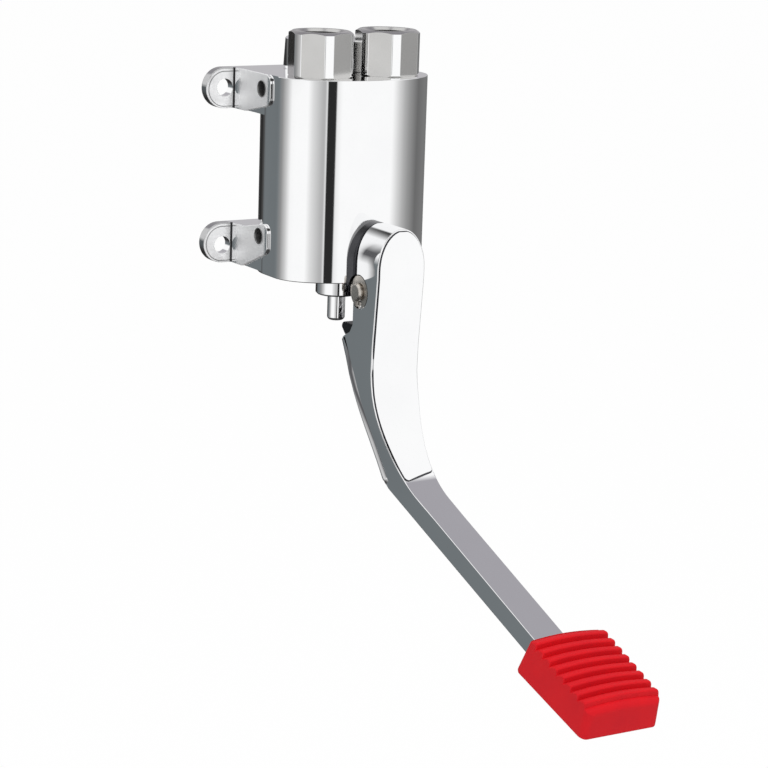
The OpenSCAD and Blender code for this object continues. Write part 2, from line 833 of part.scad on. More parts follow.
// Side view of the raised panel on the lever's front
module panel_side() {
    polygon(concat(
        [[-head_front + panel_deep, head_top + 1], [-head_front - panel_t, head_top + 1]],
        [[-head_front - panel_t, arch_z - 4]],
        arc(bend_y, bend_z, panel_r, 0, -panel_turn, 14),
        arc(bend_y, bend_z, bend_r + panel_deep, -panel_turn, 0, 14),
        [[-head_front + panel_deep, arch_z - 4]]
    ));
}

// Front view, in (X, Z), of the lever less an even margin: arched head, straight cheeks and a waist down to the arm
module lever_front(margin) {
    steps = 14;
    tip = on_arm(arm_l + arm_hold, -arm_end_t)[1] - 1;
    waist = [for (i = [0 : steps]) waist_top + (waist_low - waist_top) * i / steps];
    polygon(concat(
        arch(lever_w / 2 - margin, arch_h - margin, arch_z),
        [for (z = waist) [margin - lever_half(z), z]],
        [[margin - arm_end_w / 2, tip], [arm_end_w / 2 - margin, tip]],
        [for (i = [steps : -1 : 0]) [lever_half(waist[i]) - margin, waist[i]]]
    ));
}

// Hollow of the hood that covers the lug, and the gap between the cheeks below it, in (Y, Z)
module hood_hollow() {
    polygon(rounded([
        [-head_back + 1, hood_top, 0],
        [-hood_front, hood_top, hood_r],
        [-hood_front, hood_floor, hood_r],
        [-web_back, hood_floor, 0],
        [-web_back, notch_low, 2],
        [-notch_back + hood_mouth, notch_low, 0],
        [-notch_back + hood_mouth, hood_top, 0]
    ]));
}

// Heel between the cheeks whose nose lifts both push rods, in (Y, Z)
module heel_side() {
    polygon(rounded([
        [-web_back - 2, nose_top, 0],
        [-web_back - 2, heel_z - 8, 0],
        [-heel_reach - 4, heel_z - 3, 0],
        [-nose_end - nose_r, nose_top - nose_deep, 0],
        [-nose_end, nose_top - nose_r - apart, 0],
        [-nose_end, nose_top, nose_r]
    ]));
}

// Sets what is drawn about the pad's lower back edge into its place on the arm
module at_pad() {
    place = on_arm(arm_l, -arm_end_t);
    translate([0, place[0], place[1]]) rotate([arm_slope - pad_tilt, 0, 0]) children();
}

// Steel plate at the arm's end that the rubber pad is pushed onto, grown by a margin
module pedal_plate(margin) {
    reach = pad_l - plate_end - plate_short;
    at_pad()
        translate([-plate_w / 2 - margin, -pad_l + plate_end - margin, plate_low - margin])
            cube([plate_w + 2 * margin, reach + 2 * margin, plate_t + 2 * margin]);
}

// Round eyes of the cheeks about the pin
module lever_eyes() {
    for (side = [-1, 1])
        translate([side * (lever_w - cheek_t) / 2, pin_y, pin_z]) rotate([0, 90, 0])
            cylinder(d = eye_d, h = cheek_t, center = true);
}

module pedal_lever() {
    color([0.86, 0.87, 0.88])
    difference() {
        union() {
            difference() {
                intersection() {
                    along_x(lever_w) lever_side();
                    along_y(-lever_reach, -nose_end) lever_front(0);
                }
                along_x(lever_w - 2 * cheek_t) hood_hollow();
            }
            lever_eyes();
            along_x(nose_w) heel_side();
            intersection() {
                along_x(lever_w) panel_side();
                along_y(-lever_reach, -nose_end) lever_front(panel_edge);
            }
            pedal_plate(0);
        }
        for (side = [-1, 1])
            translate([side * lever_w, pin_y, pin_z]) rotate([0, -side * 90, 0])
                cylinder(d = clip_pocket_d, h = lever_w / 2 + clip_pocket_deep);
        translate([-lever_w, pin_y, pin_z]) rotate([0, 90, 0]) cylinder(d = bush_d + 2 * fit, h = 2 * lever_w);
    }
}

// Height of the ribs' crests above the pad's foot at a place along it
function crest(y) = pad_back_h - (pad_front_h - pad_back_h) * y / pad_l;

// Side view of the pad below its ribs, about its lower back edge
module pad_side() {
    polygon(rounded([
        [0, 0, 1],
        [-pad_back_lean, crest(-pad_back_lean) - rib_h, pad_back_round],
        [-pad_l + pad_front_lean, crest(-pad_l) - rib_h, pad_front_round],
        [-pad_l, 0, 1]
    ]));
}

// One cross rib: it rises towards the front and drops steeply there
module pad_rib(i) {
    y = -(rib_first + i * rib_pitch);
    z = crest(y - rib_pitch);
    polygon(rounded([
        [y, z - rib_h - 1, 0],
        [y, z - rib_h, 0],
        [y - rib_rise, z - rib_dip, rib_rise],
        [y - rib_pitch + rib_steep, z, rib_round],
        [y - rib_pitch, z - rib_h - 1, 0]
    ]));
}

// Plan of the pad with its upright corners rounded
module pad_plan() {
    polygon(rounded([
        [-pad_w / 2, 0, pad_corner],
        [pad_w / 2, 0, pad_corner],
        [pad_w / 2, -pad_l, pad_corner],
        [-pad_w / 2, -pad_l, pad_corner]
    ]));
}

module pedal_pad() {
    color([0.8, 0.08, 0.1])
    difference() {
        at_pad() intersection() {
            translate([0, 0, -1]) linear_extrude(pad_back_h + 2) pad_plan();
            along_x(pad_w + 2) union() {
                pad_side();
                for (i = [0 : rib_count - 1]) pad_rib(i);
            }
            along_y(-pad_l - 1, 1) polygon([
                [-pad_w / 2, 0],
                [-pad_w / 2, pad_foot],
                [-pad_top_w / 2, pad_back_h],
                [pad_top_w / 2, pad_back_h],
                [pad_w / 2, pad_foot],
                [pad_w / 2, 0]
            ]);
        }
        pedal_plate(fit);
        translate([0, bend_end[0], bend_end[1]]) rotate([arm_slope, 0, 0])
            translate([-arm_end_w / 2 - fit, -arm_l - arm_hold - fit, -arm_t - 1])
                cube([arm_end_w + 2 * fit, arm_hold + 4, arm_t + 1 + fit]);
    }
}

module inlet_union_hot() { color([0.86, 0.87, 0.88]) inlet_union(-1); }
module inlet_union_cold() { color([0.86, 0.87, 0.88]) inlet_union(1); }
module inlet_gasket_hot() { color([0.25, 0.22, 0.2]) inlet_gasket(-1); }
module inlet_gasket_cold() { color([0.25, 0.22, 0.2]) inlet_gasket(1); }
module inlet_filter_hot() { color([0.55, 0.56, 0.57]) inlet_filter(-1); }
module inlet_filter_cold() { color([0.55, 0.56, 0.57]) inlet_filter(1); }
module check_valve_hot() { color([0.9, 0.9, 0.88]) check_valve(-1); }
module check_valve_cold() { color([0.9, 0.9, 0.88]) check_valve(1); }
module check_poppet_hot() { color([0.2, 0.2, 0.22]) check_poppet(-1); }
module check_poppet_cold() { color([0.2, 0.2, 0.22]) check_poppet(1); }
module cartridge_hot() { color([0.82, 0.68, 0.38]) cartridge(-1); }
module cartridge_cold() { color([0.82, 0.68, 0.38]) cartridge(1); }
module cartridge_ring_hot() { color([0.08, 0.08, 0.08]) cartridge_ring(-1); }
module cartridge_ring_cold() { color([0.08, 0.08, 0.08]) cartridge_ring(1); }
module rod_ring_hot() { color([0.08, 0.08, 0.08]) rod_ring(-1); }
module rod_ring_cold() { color([0.08, 0.08, 0.08]) rod_ring(1); }
module push_rod_hot() { color([0.8, 0.8, 0.8]) push_rod(-1); }
module push_rod_cold() { color([0.8, 0.8, 0.8]) push_rod(1); }
module valve_washer_hot() { color([0.1, 0.1, 0.1]) valve_washer(-1); }
module valve_washer_cold() { color([0.1, 0.1, 0.1]) valve_washer(1); }
module washer_nut_hot() { color([0.82, 0.68, 0.38]) washer_nut(-1); }
module washer_nut_cold() { color([0.82, 0.68, 0.38]) washer_nut(1); }
module closing_spring_hot() { color([0.7, 0.7, 0.72]) closing_spring(-1); }
module closing_spring_cold() { color([0.7, 0.7, 0.72]) closing_spring(1); }
module pin_clip_left() { pin_clip(-1); }
module pin_clip_right() { pin_clip(1); }
module pivot_bush_left() { pivot_bush(-1); }
module pivot_bush_right() { pivot_bush(1); }

valve_body();
inlet_union_hot();
inlet_union_cold();
inlet_gasket_hot();
inlet_gasket_cold();
inlet_filter_hot();
inlet_filter_cold();
check_valve_hot();
check_valve_cold();
check_poppet_hot();
check_poppet_cold();
outlet_socket();
outlet_gasket();
cartridge_hot();
cartridge_cold();
cartridge_ring_hot();
cartridge_ring_cold();
rod_ring_hot();
rod_ring_cold();
push_rod_hot();
push_rod_cold();
valve_washer_hot();
valve_washer_cold();
washer_nut_hot();
washer_nut_cold();
closing_spring_hot();
closing_spring_cold();
pivot_pin();
pin_clip_left();
pin_clip_right();
pivot_bush_left();
pivot_bush_right();
pedal_lever();
pedal_pad();
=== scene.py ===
import logging
import math
from dataclasses import dataclass, field
from enum import Enum
from typing import Callable, Iterable, Sequence

import bmesh
import bpy
from mathutils import Matrix, Vector


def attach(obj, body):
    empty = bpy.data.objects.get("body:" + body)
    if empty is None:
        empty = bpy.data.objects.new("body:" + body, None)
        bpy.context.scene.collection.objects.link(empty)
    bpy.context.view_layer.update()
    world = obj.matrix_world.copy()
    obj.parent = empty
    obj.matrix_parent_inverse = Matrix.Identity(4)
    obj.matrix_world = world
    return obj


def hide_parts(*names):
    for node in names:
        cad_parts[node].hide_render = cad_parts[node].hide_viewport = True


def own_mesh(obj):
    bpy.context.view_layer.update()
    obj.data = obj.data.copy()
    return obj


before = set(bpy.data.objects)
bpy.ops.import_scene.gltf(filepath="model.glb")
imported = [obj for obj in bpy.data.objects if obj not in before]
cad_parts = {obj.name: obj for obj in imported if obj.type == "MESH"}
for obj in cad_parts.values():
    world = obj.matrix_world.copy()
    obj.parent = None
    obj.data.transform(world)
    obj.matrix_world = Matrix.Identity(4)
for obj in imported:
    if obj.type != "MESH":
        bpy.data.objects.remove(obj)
log = logging.getLogger("foot_pedal_tap_valve")

MM = 0.001
SHARP = math.radians(38)

Point = tuple[float, float]
Corner = tuple[float, float, float]
Colour = tuple[float, float, float] | bpy.types.NodeSocket


class Plane(Enum):
    """The plane that an outline (u, v) is drawn in, and the direction w that it is drawn out along."""

    SIDE = "side view: u is Y, v is Z, w is X"
    FRONT = "front view: u is X, v is Z, w is Y"
    PLAN = "plan: u is X, v is Y, w is Z"

    def at(self, u: float, v: float, w: float) -> Vector:
        """The place in X, Y and Z, in millimetres."""
        if self is Plane.SIDE:
            return Vector((w, u, v))
        if self is Plane.FRONT:
            return Vector((u, w, v))
        return Vector((u, v, w))


class Side(Enum):
    """Hot or cold water side; the value is its sign along X."""

    HOT = -1
    COLD = 1

    @property
    def word(self) -> str:
        """The side's name in lower case, as the nodes spell it."""
        return self.name.lower()


def arc(centre: Point, radius: float, start: float, end: float, steps: int) -> list[Point]:
    """Points on an arc.

    Args:
        centre: The arc's centre.
        radius: Its radius.
        start: The first point's angle in degrees.
        end: The last point's angle in degrees.
        steps: The number of equal parts that the arc is cut into.

    Returns:
        The points from the first to the last.
    """
    turn = [math.radians(start + (end - start) * i / steps) for i in range(steps + 1)]
    return [(centre[0] + radius * math.cos(a), centre[1] + radius * math.sin(a)) for a in turn]


def rounded(corners: Sequence[Corner], steps: int = 6) -> list[Point]:
    """An outline whose corners are turned into arcs.

    Args:
        corners: Each corner's place and the radius of its rounding.
        steps: The number of parts of each rounding.

    Returns:
        The outline's points.
    """
    outline: list[Point] = []
    for i, (x, y, radius) in enumerate(corners):
        here = Vector((x, y))
        back = (Vector(corners[i - 1][:2]) - here).normalized()
        ahead = (Vector(corners[(i + 1) % len(corners)][:2]) - here).normalized()
        middle = back + ahead
        if radius <= 0 or middle.length < 0.001:
            outline.append((x, y))
            continue
        half = back.angle(ahead) / 2
        centre = here + middle.normalized() * radius / math.sin(half)
        first = here + back * radius / math.tan(half) - centre
        last = here + ahead * radius / math.tan(half) - centre
        start = math.degrees(math.atan2(first.y, first.x))
        turn = (math.degrees(math.atan2(last.y, last.x)) - start + 180) % 360 - 180
        outline += arc((centre.x, centre.y), radius, start, start + turn, steps)
    return outline


class Blank:
    """Stock that mesh operators shape. It is drawn in millimetres, in the part's own frame."""

    def __init__(self) -> None:
        """Starts with no stock."""
        self.bm = bmesh.new()

    def prism(self, outline: Sequence[Point], plane: Plane, low: float, high: float) -> "Blank":
        """Adds an outline that is drawn out between two heights.

        Args:
            outline: The outline's points.
            plane: The plane that it is drawn in.
            low: Where it starts along the plane's third direction.
            high: Where it ends.

        Returns:
            This blank.
        """
        ring = [self.bm.verts.new(plane.at(u, v, low)) for u, v in outline]
        face = self.bm.faces.new(ring)
        grown = bmesh.ops.extrude_face_region(self.bm, geom=[face])["geom"]
        tops = [g for g in grown if isinstance(g, bmesh.types.BMVert)]
        bmesh.ops.translate(self.bm, verts=tops, vec=plane.at(0, 0, high - low))
        return self.tidy()

    def turned(self, profile: Sequence[Point], centre: Vector, axis: Vector, steps: int = 96) -> "Blank":
        """Adds a closed profile of (radius, height) turned once round an axis.

        Args:
            profile: The profile's points, closed through the axis where it touches it.
            centre: Where height 0 lies on the axis.
            axis: The axis's direction.
            steps: The number of parts of the turn.

        Returns:
            This blank.
        """
        out = axis.orthogonal().normalized()
        ring = [self.bm.verts.new(centre + out * r + axis * h) for r, h in profile]
        edges = [self.bm.edges.new((ring[i - 1], ring[i])) for i in range(len(ring))]
        bmesh.ops.spin(self.bm, geom=ring + edges, cent=centre, axis=axis, angle=math.tau,
                       steps=steps, use_merge=True)
        return self.tidy()

    def lofted(self, rings: Sequence[Sequence[Vector]]) -> "Blank":
        """Adds a closed form that is drawn from ring to ring; each vertex keeps its place in the ring as its row.

        Args:
            rings: The sections in order, each of the same number of points.

        Returns:
            This blank.
        """
        row = self.bm.verts.layers.int.get("row") or self.bm.verts.layers.int.new("row")
        verts = [self.bm.verts.new(p) for p in rings[0]]
        for i, v in enumerate(verts):
            v[row] = i
        edges = [self.bm.edges.new((verts[i - 1], verts[i])) for i in range(len(verts))]
        bmesh.ops.contextual_create(self.bm, geom=edges)
        for ring in rings[1:]:
            grown = bmesh.ops.extrude_edge_only(self.bm, edges=edges)["geom"]
            fresh = [g for g in grown if isinstance(g, bmesh.types.BMVert)]
            for v in fresh:
                v.co = ring[v[row]]
            edges = [g for g in grown if isinstance(g, bmesh.types.BMEdge) and g.verts[0] in fresh
                     and g.verts[1] in fresh]
        bmesh.ops.contextual_create(self.bm, geom=edges)
        return self.tidy()

    def tidy(self) -> "Blank":
        """Merges doubled vertices and turns all faces outwards."""
        bmesh.ops.remove_doubles(self.bm, verts=self.bm.verts, dist=0.0005)
        bmesh.ops.dissolve_degenerate(self.bm, edges=self.bm.edges, dist=0.0005)
        bmesh.ops.recalc_face_normals(self.bm, faces=self.bm.faces)
        return self

    def simplified(self) -> "Blank":
        """Merges flat neighbouring faces into one."""
        bmesh.ops.remove_doubles(self.bm, verts=self.bm.verts, dist=0.01)
        bmesh.ops.dissolve_limit(self.bm, angle_limit=math.radians(0.5), verts=self.bm.verts, edges=self.bm.edges)
        return self

    def soften(self, width: float, segments: int = 3,
               chosen: Callable[[bmesh.types.BMEdge], bool] = lambda edge: True) -> "Blank":
        """Rounds the sharp edges.

        Args:
            width: The rounding's radius.
            segments: The number of faces across it.
            chosen: Says which of the sharp edges are rounded.

        Returns:
            This blank.
        """
        edges = [e for e in self.bm.edges
                 if len(e.link_faces) == 2 and e.calc_face_angle(0) > SHARP and chosen(e)]
        if edges:
            bmesh.ops.bevel(self.bm, geom=edges, offset=width, offset_type="OFFSET", segments=segments,
                            profile=0.5, affect="EDGES", clamp_overlap=True, material=-1)
        return self.tidy()

    def faced(self, normal: Vector, through: Vector, edge: float) -> "Blank":
        """Cuts off what lies beyond a plane, closes the cut and breaks its edge.

        Args:
            normal: The plane's outward normal.
            through: A point on the plane.
            edge: The width of the broken edge.

        Returns:
            This blank.
        """
        geom = [*self.bm.verts, *self.bm.edges, *self.bm.faces]
        made = bmesh.ops.bisect_plane(self.bm, geom=geom, plane_co=through, plane_no=normal,
                                      clear_outer=True)["geom_cut"]
        rim = [g for g in made if isinstance(g, bmesh.types.BMEdge)]
        bmesh.ops.contextual_create(self.bm, geom=rim)
        bmesh.ops.recalc_face_normals(self.bm, faces=self.bm.faces)
        bmesh.ops.bevel(self.bm, geom=rim, offset=edge, offset_type="OFFSET", segments=2, profile=0.5,
                        affect="EDGES", clamp_overlap=True, material=-1)
        return self

    def mesh(self, name: str) -> bpy.types.Mesh:
        """A mesh of the blank as it stands, still in millimetres."""
        made = bpy.data.meshes.new(name)
        self.bm.to_mesh(made)
        return made

    def combined(self, tool: "Blank", operation: str) -> "Blank":
        """Adds or takes away another blank.

        Args:
            tool: The other blank, which is used up.
            operation: UNION, DIFFERENCE or INTERSECT.

        Returns:
            This blank.
        """
        base = bpy.data.objects.new("stock", self.mesh("stock"))
        other = bpy.data.objects.new("tool", tool.mesh("tool"))
        for each in (base, other):
            bpy.context.scene.collection.objects.link(each)
        step = base.modifiers.new("combine", "BOOLEAN")
        step.operation = operation
        step.solver = "EXACT"
        step.object = other
        bpy.context.view_layer.update()
        result = base.evaluated_get(bpy.context.evaluated_depsgraph_get()).to_mesh()
        self.bm.clear()
        self.bm.from_mesh(result)
        for each in (base, other):
            bpy.data.meshes.remove(each.data)
        tool.bm.free()
        return self.tidy()

    def cut(self, tool: "Blank") -> "Blank":
        """Takes another blank away."""
        return self.combined(tool, "DIFFERENCE")

    def joined(self, tool: "Blank") -> "Blank":
        """Adds another blank."""
        return self.combined(tool, "UNION")

    def moved(self, place: Matrix) -> "Blank":
        """Turns and moves the stock as a matrix in millimetres says."""
        bmesh.ops.transform(self.bm, matrix=place, verts=self.bm.verts)
        return self


def rod(radius: float, start: Vector, end: Vector, steps: int = 64) -> Blank:
    """A plain round bar between two points, for bores and as stock.

    Args:
        radius: The bar's radius.
        start: The middle of one end.
        end: The middle of the other end.
        steps: The number of its side faces.

    Returns:
        The bar as a blank.
    """
    bar = Blank()
    length = (end - start).length
    turn = (end - start).to_track_quat("Z", "Y").to_matrix().to_4x4()
    bmesh.ops.create_cone(bar.bm, cap_ends=True, segments=steps, radius1=radius, radius2=radius, depth=length)
    return bar.moved(Matrix.Translation((start + end) / 2) @ turn)


class Value:
    """A shader number whose arithmetic adds Math nodes."""

    def __init__(self, shader: "Shader", socket: bpy.types.NodeSocket) -> None:
        """Wraps an output socket of a shader."""
        self.shader = shader
        self.socket = socket

    def maths(self, operation: str, first: "Value | float", second: "Value | float") -> "Value":
        """Adds one Math node.

        Args:
            operation: The node's operation.
            first: Its first value.
            second: Its second value.

        Returns:
            The node's result.
        """
        node = self.shader.node("ShaderNodeMath", {"operation": operation}, {0: first, 1: second})
        return Value(self.shader, node.outputs[0])

    def __add__(self, other: "Value | float") -> "Value":
        """This value plus another."""
        return self.maths("ADD", self, other)

    def __radd__(self, other: float) -> "Value":
        """A number plus this value."""
        return self.maths("ADD", other, self)

    def __sub__(self, other: "Value | float") -> "Value":
        """This value less another."""
        return self.maths("SUBTRACT", self, other)

    def __rsub__(self, other: float) -> "Value":
        """A number less this value."""
        return self.maths("SUBTRACT", other, self)

    def __mul__(self, other: "Value | float") -> "Value":
        """This value times another."""
        return self.maths("MULTIPLY", self, other)

    def __rmul__(self, other: float) -> "Value":
        """A number times this value."""
        return self.maths("MULTIPLY", other, self)

    def __truediv__(self, other: "Value | float") -> "Value":
        """This value over another."""
        return self.maths("DIVIDE", self, other)

    def __rtruediv__(self, other: float) -> "Value":
        """A number over this value."""
        return self.maths("DIVIDE", other, self)


class Shader:
    """The nodes of one material or world."""

    def __init__(self, tree: bpy.types.NodeTree) -> None:
        """Starts with an empty tree."""
        self.tree = tree
        tree.nodes.clear()

    def node(self, kind: str, settings: dict[str, object] | None = None,
             inputs: dict[int | str, object] | None = None) -> bpy.types.Node:
        """Adds one node.

        Args:
            kind: The node's type.
            settings: Its settings by name; "stops" gives a ramp's (place, colour) pairs.
            inputs: The values or links of its sockets.

        Returns:
            The node.
        """
        made = self.tree.nodes.new(kind)
        for name, value in (settings or {}).items():
            if name == "stops":
                self.fill_ramp(made.color_ramp, value)
            else:
                setattr(made, name, value)
        for name, value in (inputs or {}).items():
            self.feed(made.inputs[name], value)
        return made

    def fill_ramp(self, ramp: bpy.types.ColorRamp, stops: Sequence[tuple[float, tuple]]) -> None:
        """Gives a ramp its stops."""
        while len(ramp.elements) < len(stops):
            ramp.elements.new(1.0)
        for element, (place, colour) in zip(ramp.elements, stops):
            element.position = place
            element.color = (*colour, 1.0)

    def feed(self, socket: bpy.types.NodeSocket, value: object) -> None:
        """Links a socket to a value or another socket, or sets it to a number or colour."""
        if isinstance(value, Value):
            self.tree.links.new(value.socket, socket)
        elif isinstance(value, bpy.types.NodeSocket):
            self.tree.links.new(value, socket)
        else:
            socket.default_value = value

    def places(self, stretch: Sequence[float] = (1.0, 1.0, 1.0)) -> bpy.types.NodeSocket:
        """Object coordinates in metres, stretched along each axis."""
        coords = self.node("ShaderNodeTexCoord")
        mapped = self.node("ShaderNodeMapping", {}, {"Vector": coords.outputs["Object"], "Scale": tuple(stretch)})
        return mapped.outputs[0]

    def noise(self, scale: float, detail: float = 3.0, rough: float = 0.5,
              stretch: Sequence[float] = (1.0, 1.0, 1.0)) -> Value:
        """Cloudy noise from 0 to 1.

        Args:
            scale: The number of clouds to a metre.
            detail: How many finer layers it has.
            rough: How strong they are.
            stretch: How much finer it is along each axis.

        Returns:
            The noise as a value.
        """
        made = self.node("ShaderNodeTexNoise", {},
                         {"Vector": self.places(stretch), "Scale": scale, "Detail": detail, "Roughness": rough})
        return Value(self, made.outputs["Fac"])

    def mixed(self, share: Value, first: Colour, second: Colour) -> bpy.types.NodeSocket:
        """A colour between two colours, each a tuple or a socket, by a share from 0 to 1."""
        ends = [(*c, 1.0) if isinstance(c, tuple) else c for c in (first, second)]
        made = self.node("ShaderNodeMix", {"data_type": "RGBA"}, {0: share, 6: ends[0], 7: ends[1]})
        return made.outputs[2]

    def banded(self, value: Value, low: float, high: float) -> Value:
        """A value that is 0 below low and 1 above high, clamped."""
        made = self.node("ShaderNodeMapRange", {"clamp": True}, {0: value, 1: low, 2: high, 3: 0.0, 4: 1.0})
        return Value(self, made.outputs[0])

    def bump(self, height: Value, strength: float, depth: float) -> bpy.types.NodeSocket:
        """A bumped normal from a height.

        Args:
            height: The height from 0 to 1.
            strength: How much of the bump shows.
            depth: The height of 1 in metres.

        Returns:
            The normal.
        """
        made = self.node("ShaderNodeBump", {}, {"Strength": strength, "Distance": depth, "Height": height})
        return made.outputs["Normal"]


@dataclass(frozen=True)
class Finish:
    """A surface finish with a mottled colour, uneven gloss and a fine relief."""

    name: str
    slot: str
    colour: tuple[float, float, float]
    marked: tuple[float, float, float]
    metallic: float
    roughness: float
    wear: float
    cloud: float = 45.0
    grain: float = 900.0
    stretch: tuple[float, float, float] = (1.0, 1.0, 1.0)
    relief: float = 0.1
    depth: float = 0.0001
    coat: float = 0.0
    gloss: float = 0.5

    def colouring(self, shader: Shader, share: Value) -> bpy.types.NodeSocket:
        """The colour, mottled by a share from 0 to 1."""
        return shader.mixed(share, self.colour, self.marked)

    def dullness(self, shader: Shader) -> Value | float:
        """The roughness before wear is added."""
        return self.roughness

    def sheen(self, shader: Shader) -> Value | float:
        """How metallic it is."""
        return self.metallic

    def material(self) -> bpy.types.Material:
        """The finish as a material, made once.

        Returns:
            The material.
        """
        if self.name in bpy.data.materials:
            return bpy.data.materials[self.name]
        made = bpy.data.materials.new(self.name)
        made.use_nodes = True
        shader = Shader(made.node_tree)
        clouds = shader.noise(self.cloud, 5.0, 0.55)
        grain = shader.noise(self.grain, 3.0, 0.6, self.stretch)
        spots = shader.banded(shader.noise(self.cloud * 6, 2.0), 0.62, 0.72)
        share = shader.banded(clouds * 0.75 + grain * 0.25, 0.3, 0.75)
        surface = shader.node("ShaderNodeBsdfPrincipled", {}, {
            "Base Color": self.colouring(shader, share),
            "Metallic": self.sheen(shader),
            "Roughness": self.dullness(shader) + self.wear * (0.6 * clouds + 0.3 * grain + 0.25 * spots),
            "Specular IOR Level": self.gloss,
            "Normal": shader.bump(grain + 0.4 * spots, self.relief, self.depth),
            "Coat Weight": self.coat,
        })
        out = shader.node("ShaderNodeOutputMaterial")
        shader.tree.links.new(surface.outputs[0], out.inputs["Surface"])
        return made


@dataclass(frozen=True)
class MilledFinish(Finish):
    """Satin flats between polished corners, on hexagons whose axes stand left and right of the middle."""

    axis: Point = (0.017, -0.046)
    corner: Point = (0.01446, 0.01455)
    bright: tuple[float, float, float] = (0.965, 0.968, 0.972)
    polish: float = 0.02

    def turned(self, shader: Shader) -> Value:
        """1 on the turned corners and 0 on the flats."""
        coords = shader.node("ShaderNodeTexCoord")
        parts = shader.node("ShaderNodeSeparateXYZ", {}, {0: coords.outputs["Object"]})
        x = Value(shader, parts.outputs[0])
        across = x.maths("ABSOLUTE", x, 0.0) - self.axis[0]
        along = Value(shader, parts.outputs[1]) - self.axis[1]
        radius = x.maths("SQRT", across * across + along * along, 0.0)
        return shader.banded(radius, *self.corner)

    def colouring(self, shader: Shader, share: Value) -> bpy.types.NodeSocket:
        """The mottled satin colour, and the bright one on the corners."""
        return shader.mixed(self.turned(shader), super().colouring(shader, share), self.bright)

    def dullness(self, shader: Shader) -> Value | float:
        """Satin on the flats and polished on the corners."""
        return self.roughness + self.turned(shader) * (self.polish - self.roughness)


@dataclass(frozen=True)
class TabFinish(Finish):
    """Polish that is softer and paler on the ears' fronts and the tabs' sides, with painted shade in the crease
    between ear and tab and a painted dark reflection along the ears' rims.
    """

    side: Point = (0.0369, 0.0371)
    outer: Point = (0.0388, 0.0391)
    back: Point = (0.0045, 0.0048)
    corner: Point = (0.0075, 0.012)
    front: Point = (0.0355, 0.0375)
    crease: Point = (0.0381, 0.0390)
    crease_depth: float = 0.0062
    ear_axis: Point = (0.04325, 0.0354)
    rim: Point = (0.0077, 0.0081)
    wall: float = 0.0089
    soft: Point = (0.14, 0.42)
    pale: Point = (0.45, 0.3)
    # The colour of the painted shade in the crease and of the painted dark reflection along the ears' rims.
    dark: tuple[float, float, float] = (0.04, 0.04, 0.042)

    def place(self, shader: Shader) -> tuple[Value, Value, Value]:
        """The distances from the middle, ahead of the wall and from the level of the ears' middles."""
        coords = shader.node("ShaderNodeTexCoord")
        parts = shader.node("ShaderNodeSeparateXYZ", {}, {0: coords.outputs["Object"]})
        x, y, z = (Value(shader, parts.outputs[i]) for i in range(3))
        return x.maths("ABSOLUTE", x, 0.0), 0.0 - y, z.maths("ABSOLUTE", z, 0.0) - self.ear_axis[1]

    def within(self, shader: Shader, value: Value, low: float, high: float, soft: float = 0.0001) -> Value:
        """1 where a value lies between two others and 0 elsewhere."""
        return shader.banded(value, low - soft, low + soft) * (1.0 - shader.banded(value, high - soft, high + soft))

    def beside(self, shader: Shader, side: Point, back: Point) -> Value:
        """1 beyond a distance from the middle and ahead of another from the wall, up to the tabs' ends."""
        x, ahead, _ = self.place(shader)
        return shader.banded(x, *side) * shader.banded(ahead, *back) * (1.0 - shader.banded(ahead, *self.front))

    def ear(self, shader: Shader) -> Value:
        """1 on the ears' fronts."""
        return self.beside(shader, self.outer, self.back)

    def tab(self, shader: Shader) -> Value:
        """1 on the tabs' sides."""
        return self.beside(shader, self.side, self.corner) * (1.0 - self.ear(shader))

    def colouring(self, shader: Shader, share: Value) -> bpy.types.NodeSocket:
        """The bright colour, with painted shade in the crease between ear and tab and a painted dark reflection along
        the ear's rim.
        """
        x, ahead, up = self.place(shader)
        # Painted shade in the crease between ear and tab, and painted dark reflection lines along the ear's rim and
        # over its outer wall.
        crease = self.within(shader, x, *self.crease) * self.within(shader, ahead, self.back[0], self.crease_depth)
        out = x.maths("MAXIMUM", x - self.ear_axis[0], 0.0)
        round_ear = x.maths("SQRT", out * out + up * up, 0.0)
        rim = self.within(shader, round_ear, *self.rim) + 0.6 * shader.banded(round_ear, self.wall, self.wall + 0.0002)
        rim = rim * shader.banded(x, *self.outer) * (1.0 - shader.banded(ahead, *self.corner))
        painted_shade_share = x.maths("MINIMUM", crease + rim * 0.8, 1.0)
        return shader.mixed(painted_shade_share, super().colouring(shader, share), self.dark)

    def dullness(self, shader: Shader) -> Value | float:
        """Polished, and softer on the ears' fronts and the tabs' sides."""
        on_ear, on_tab = self.soft
        return self.roughness + self.ear(shader) * on_ear + self.tab(shader) * on_tab

    def sheen(self, shader: Shader) -> Value | float:
        """Mirror-like, and paler on the ears' fronts and the tabs' sides."""
        on_ear, on_tab = self.pale
        return 1.0 - self.ear(shader) * on_ear - self.tab(shader) * on_tab


CHROME = Finish("chrome_polished", "chrome", (0.965, 0.968, 0.972), (0.93, 0.933, 0.94), 1.0, 0.018, 0.03,
                relief=0.02, depth=0.00002)
# Polished chrome for the ears, softer and paler on their fronts, with painted shade in the creases and painted dark
# reflection on the rims.
SOFT_TABS_PAINTED_SHADE = TabFinish("chrome_soft_tabs", "chrome", (0.965, 0.968, 0.972), (0.93, 0.933, 0.94), 1.0, 0.018, 0.03,
                relief=0.02, depth=0.00002)
MILLED = MilledFinish("chrome_milled", "chrome", (0.63, 0.625, 0.615), (0.56, 0.555, 0.545), 1.0, 0.13, 0.08,
                      stretch=(1.0, 1.0, 7.0), relief=0.05, depth=0.00003)
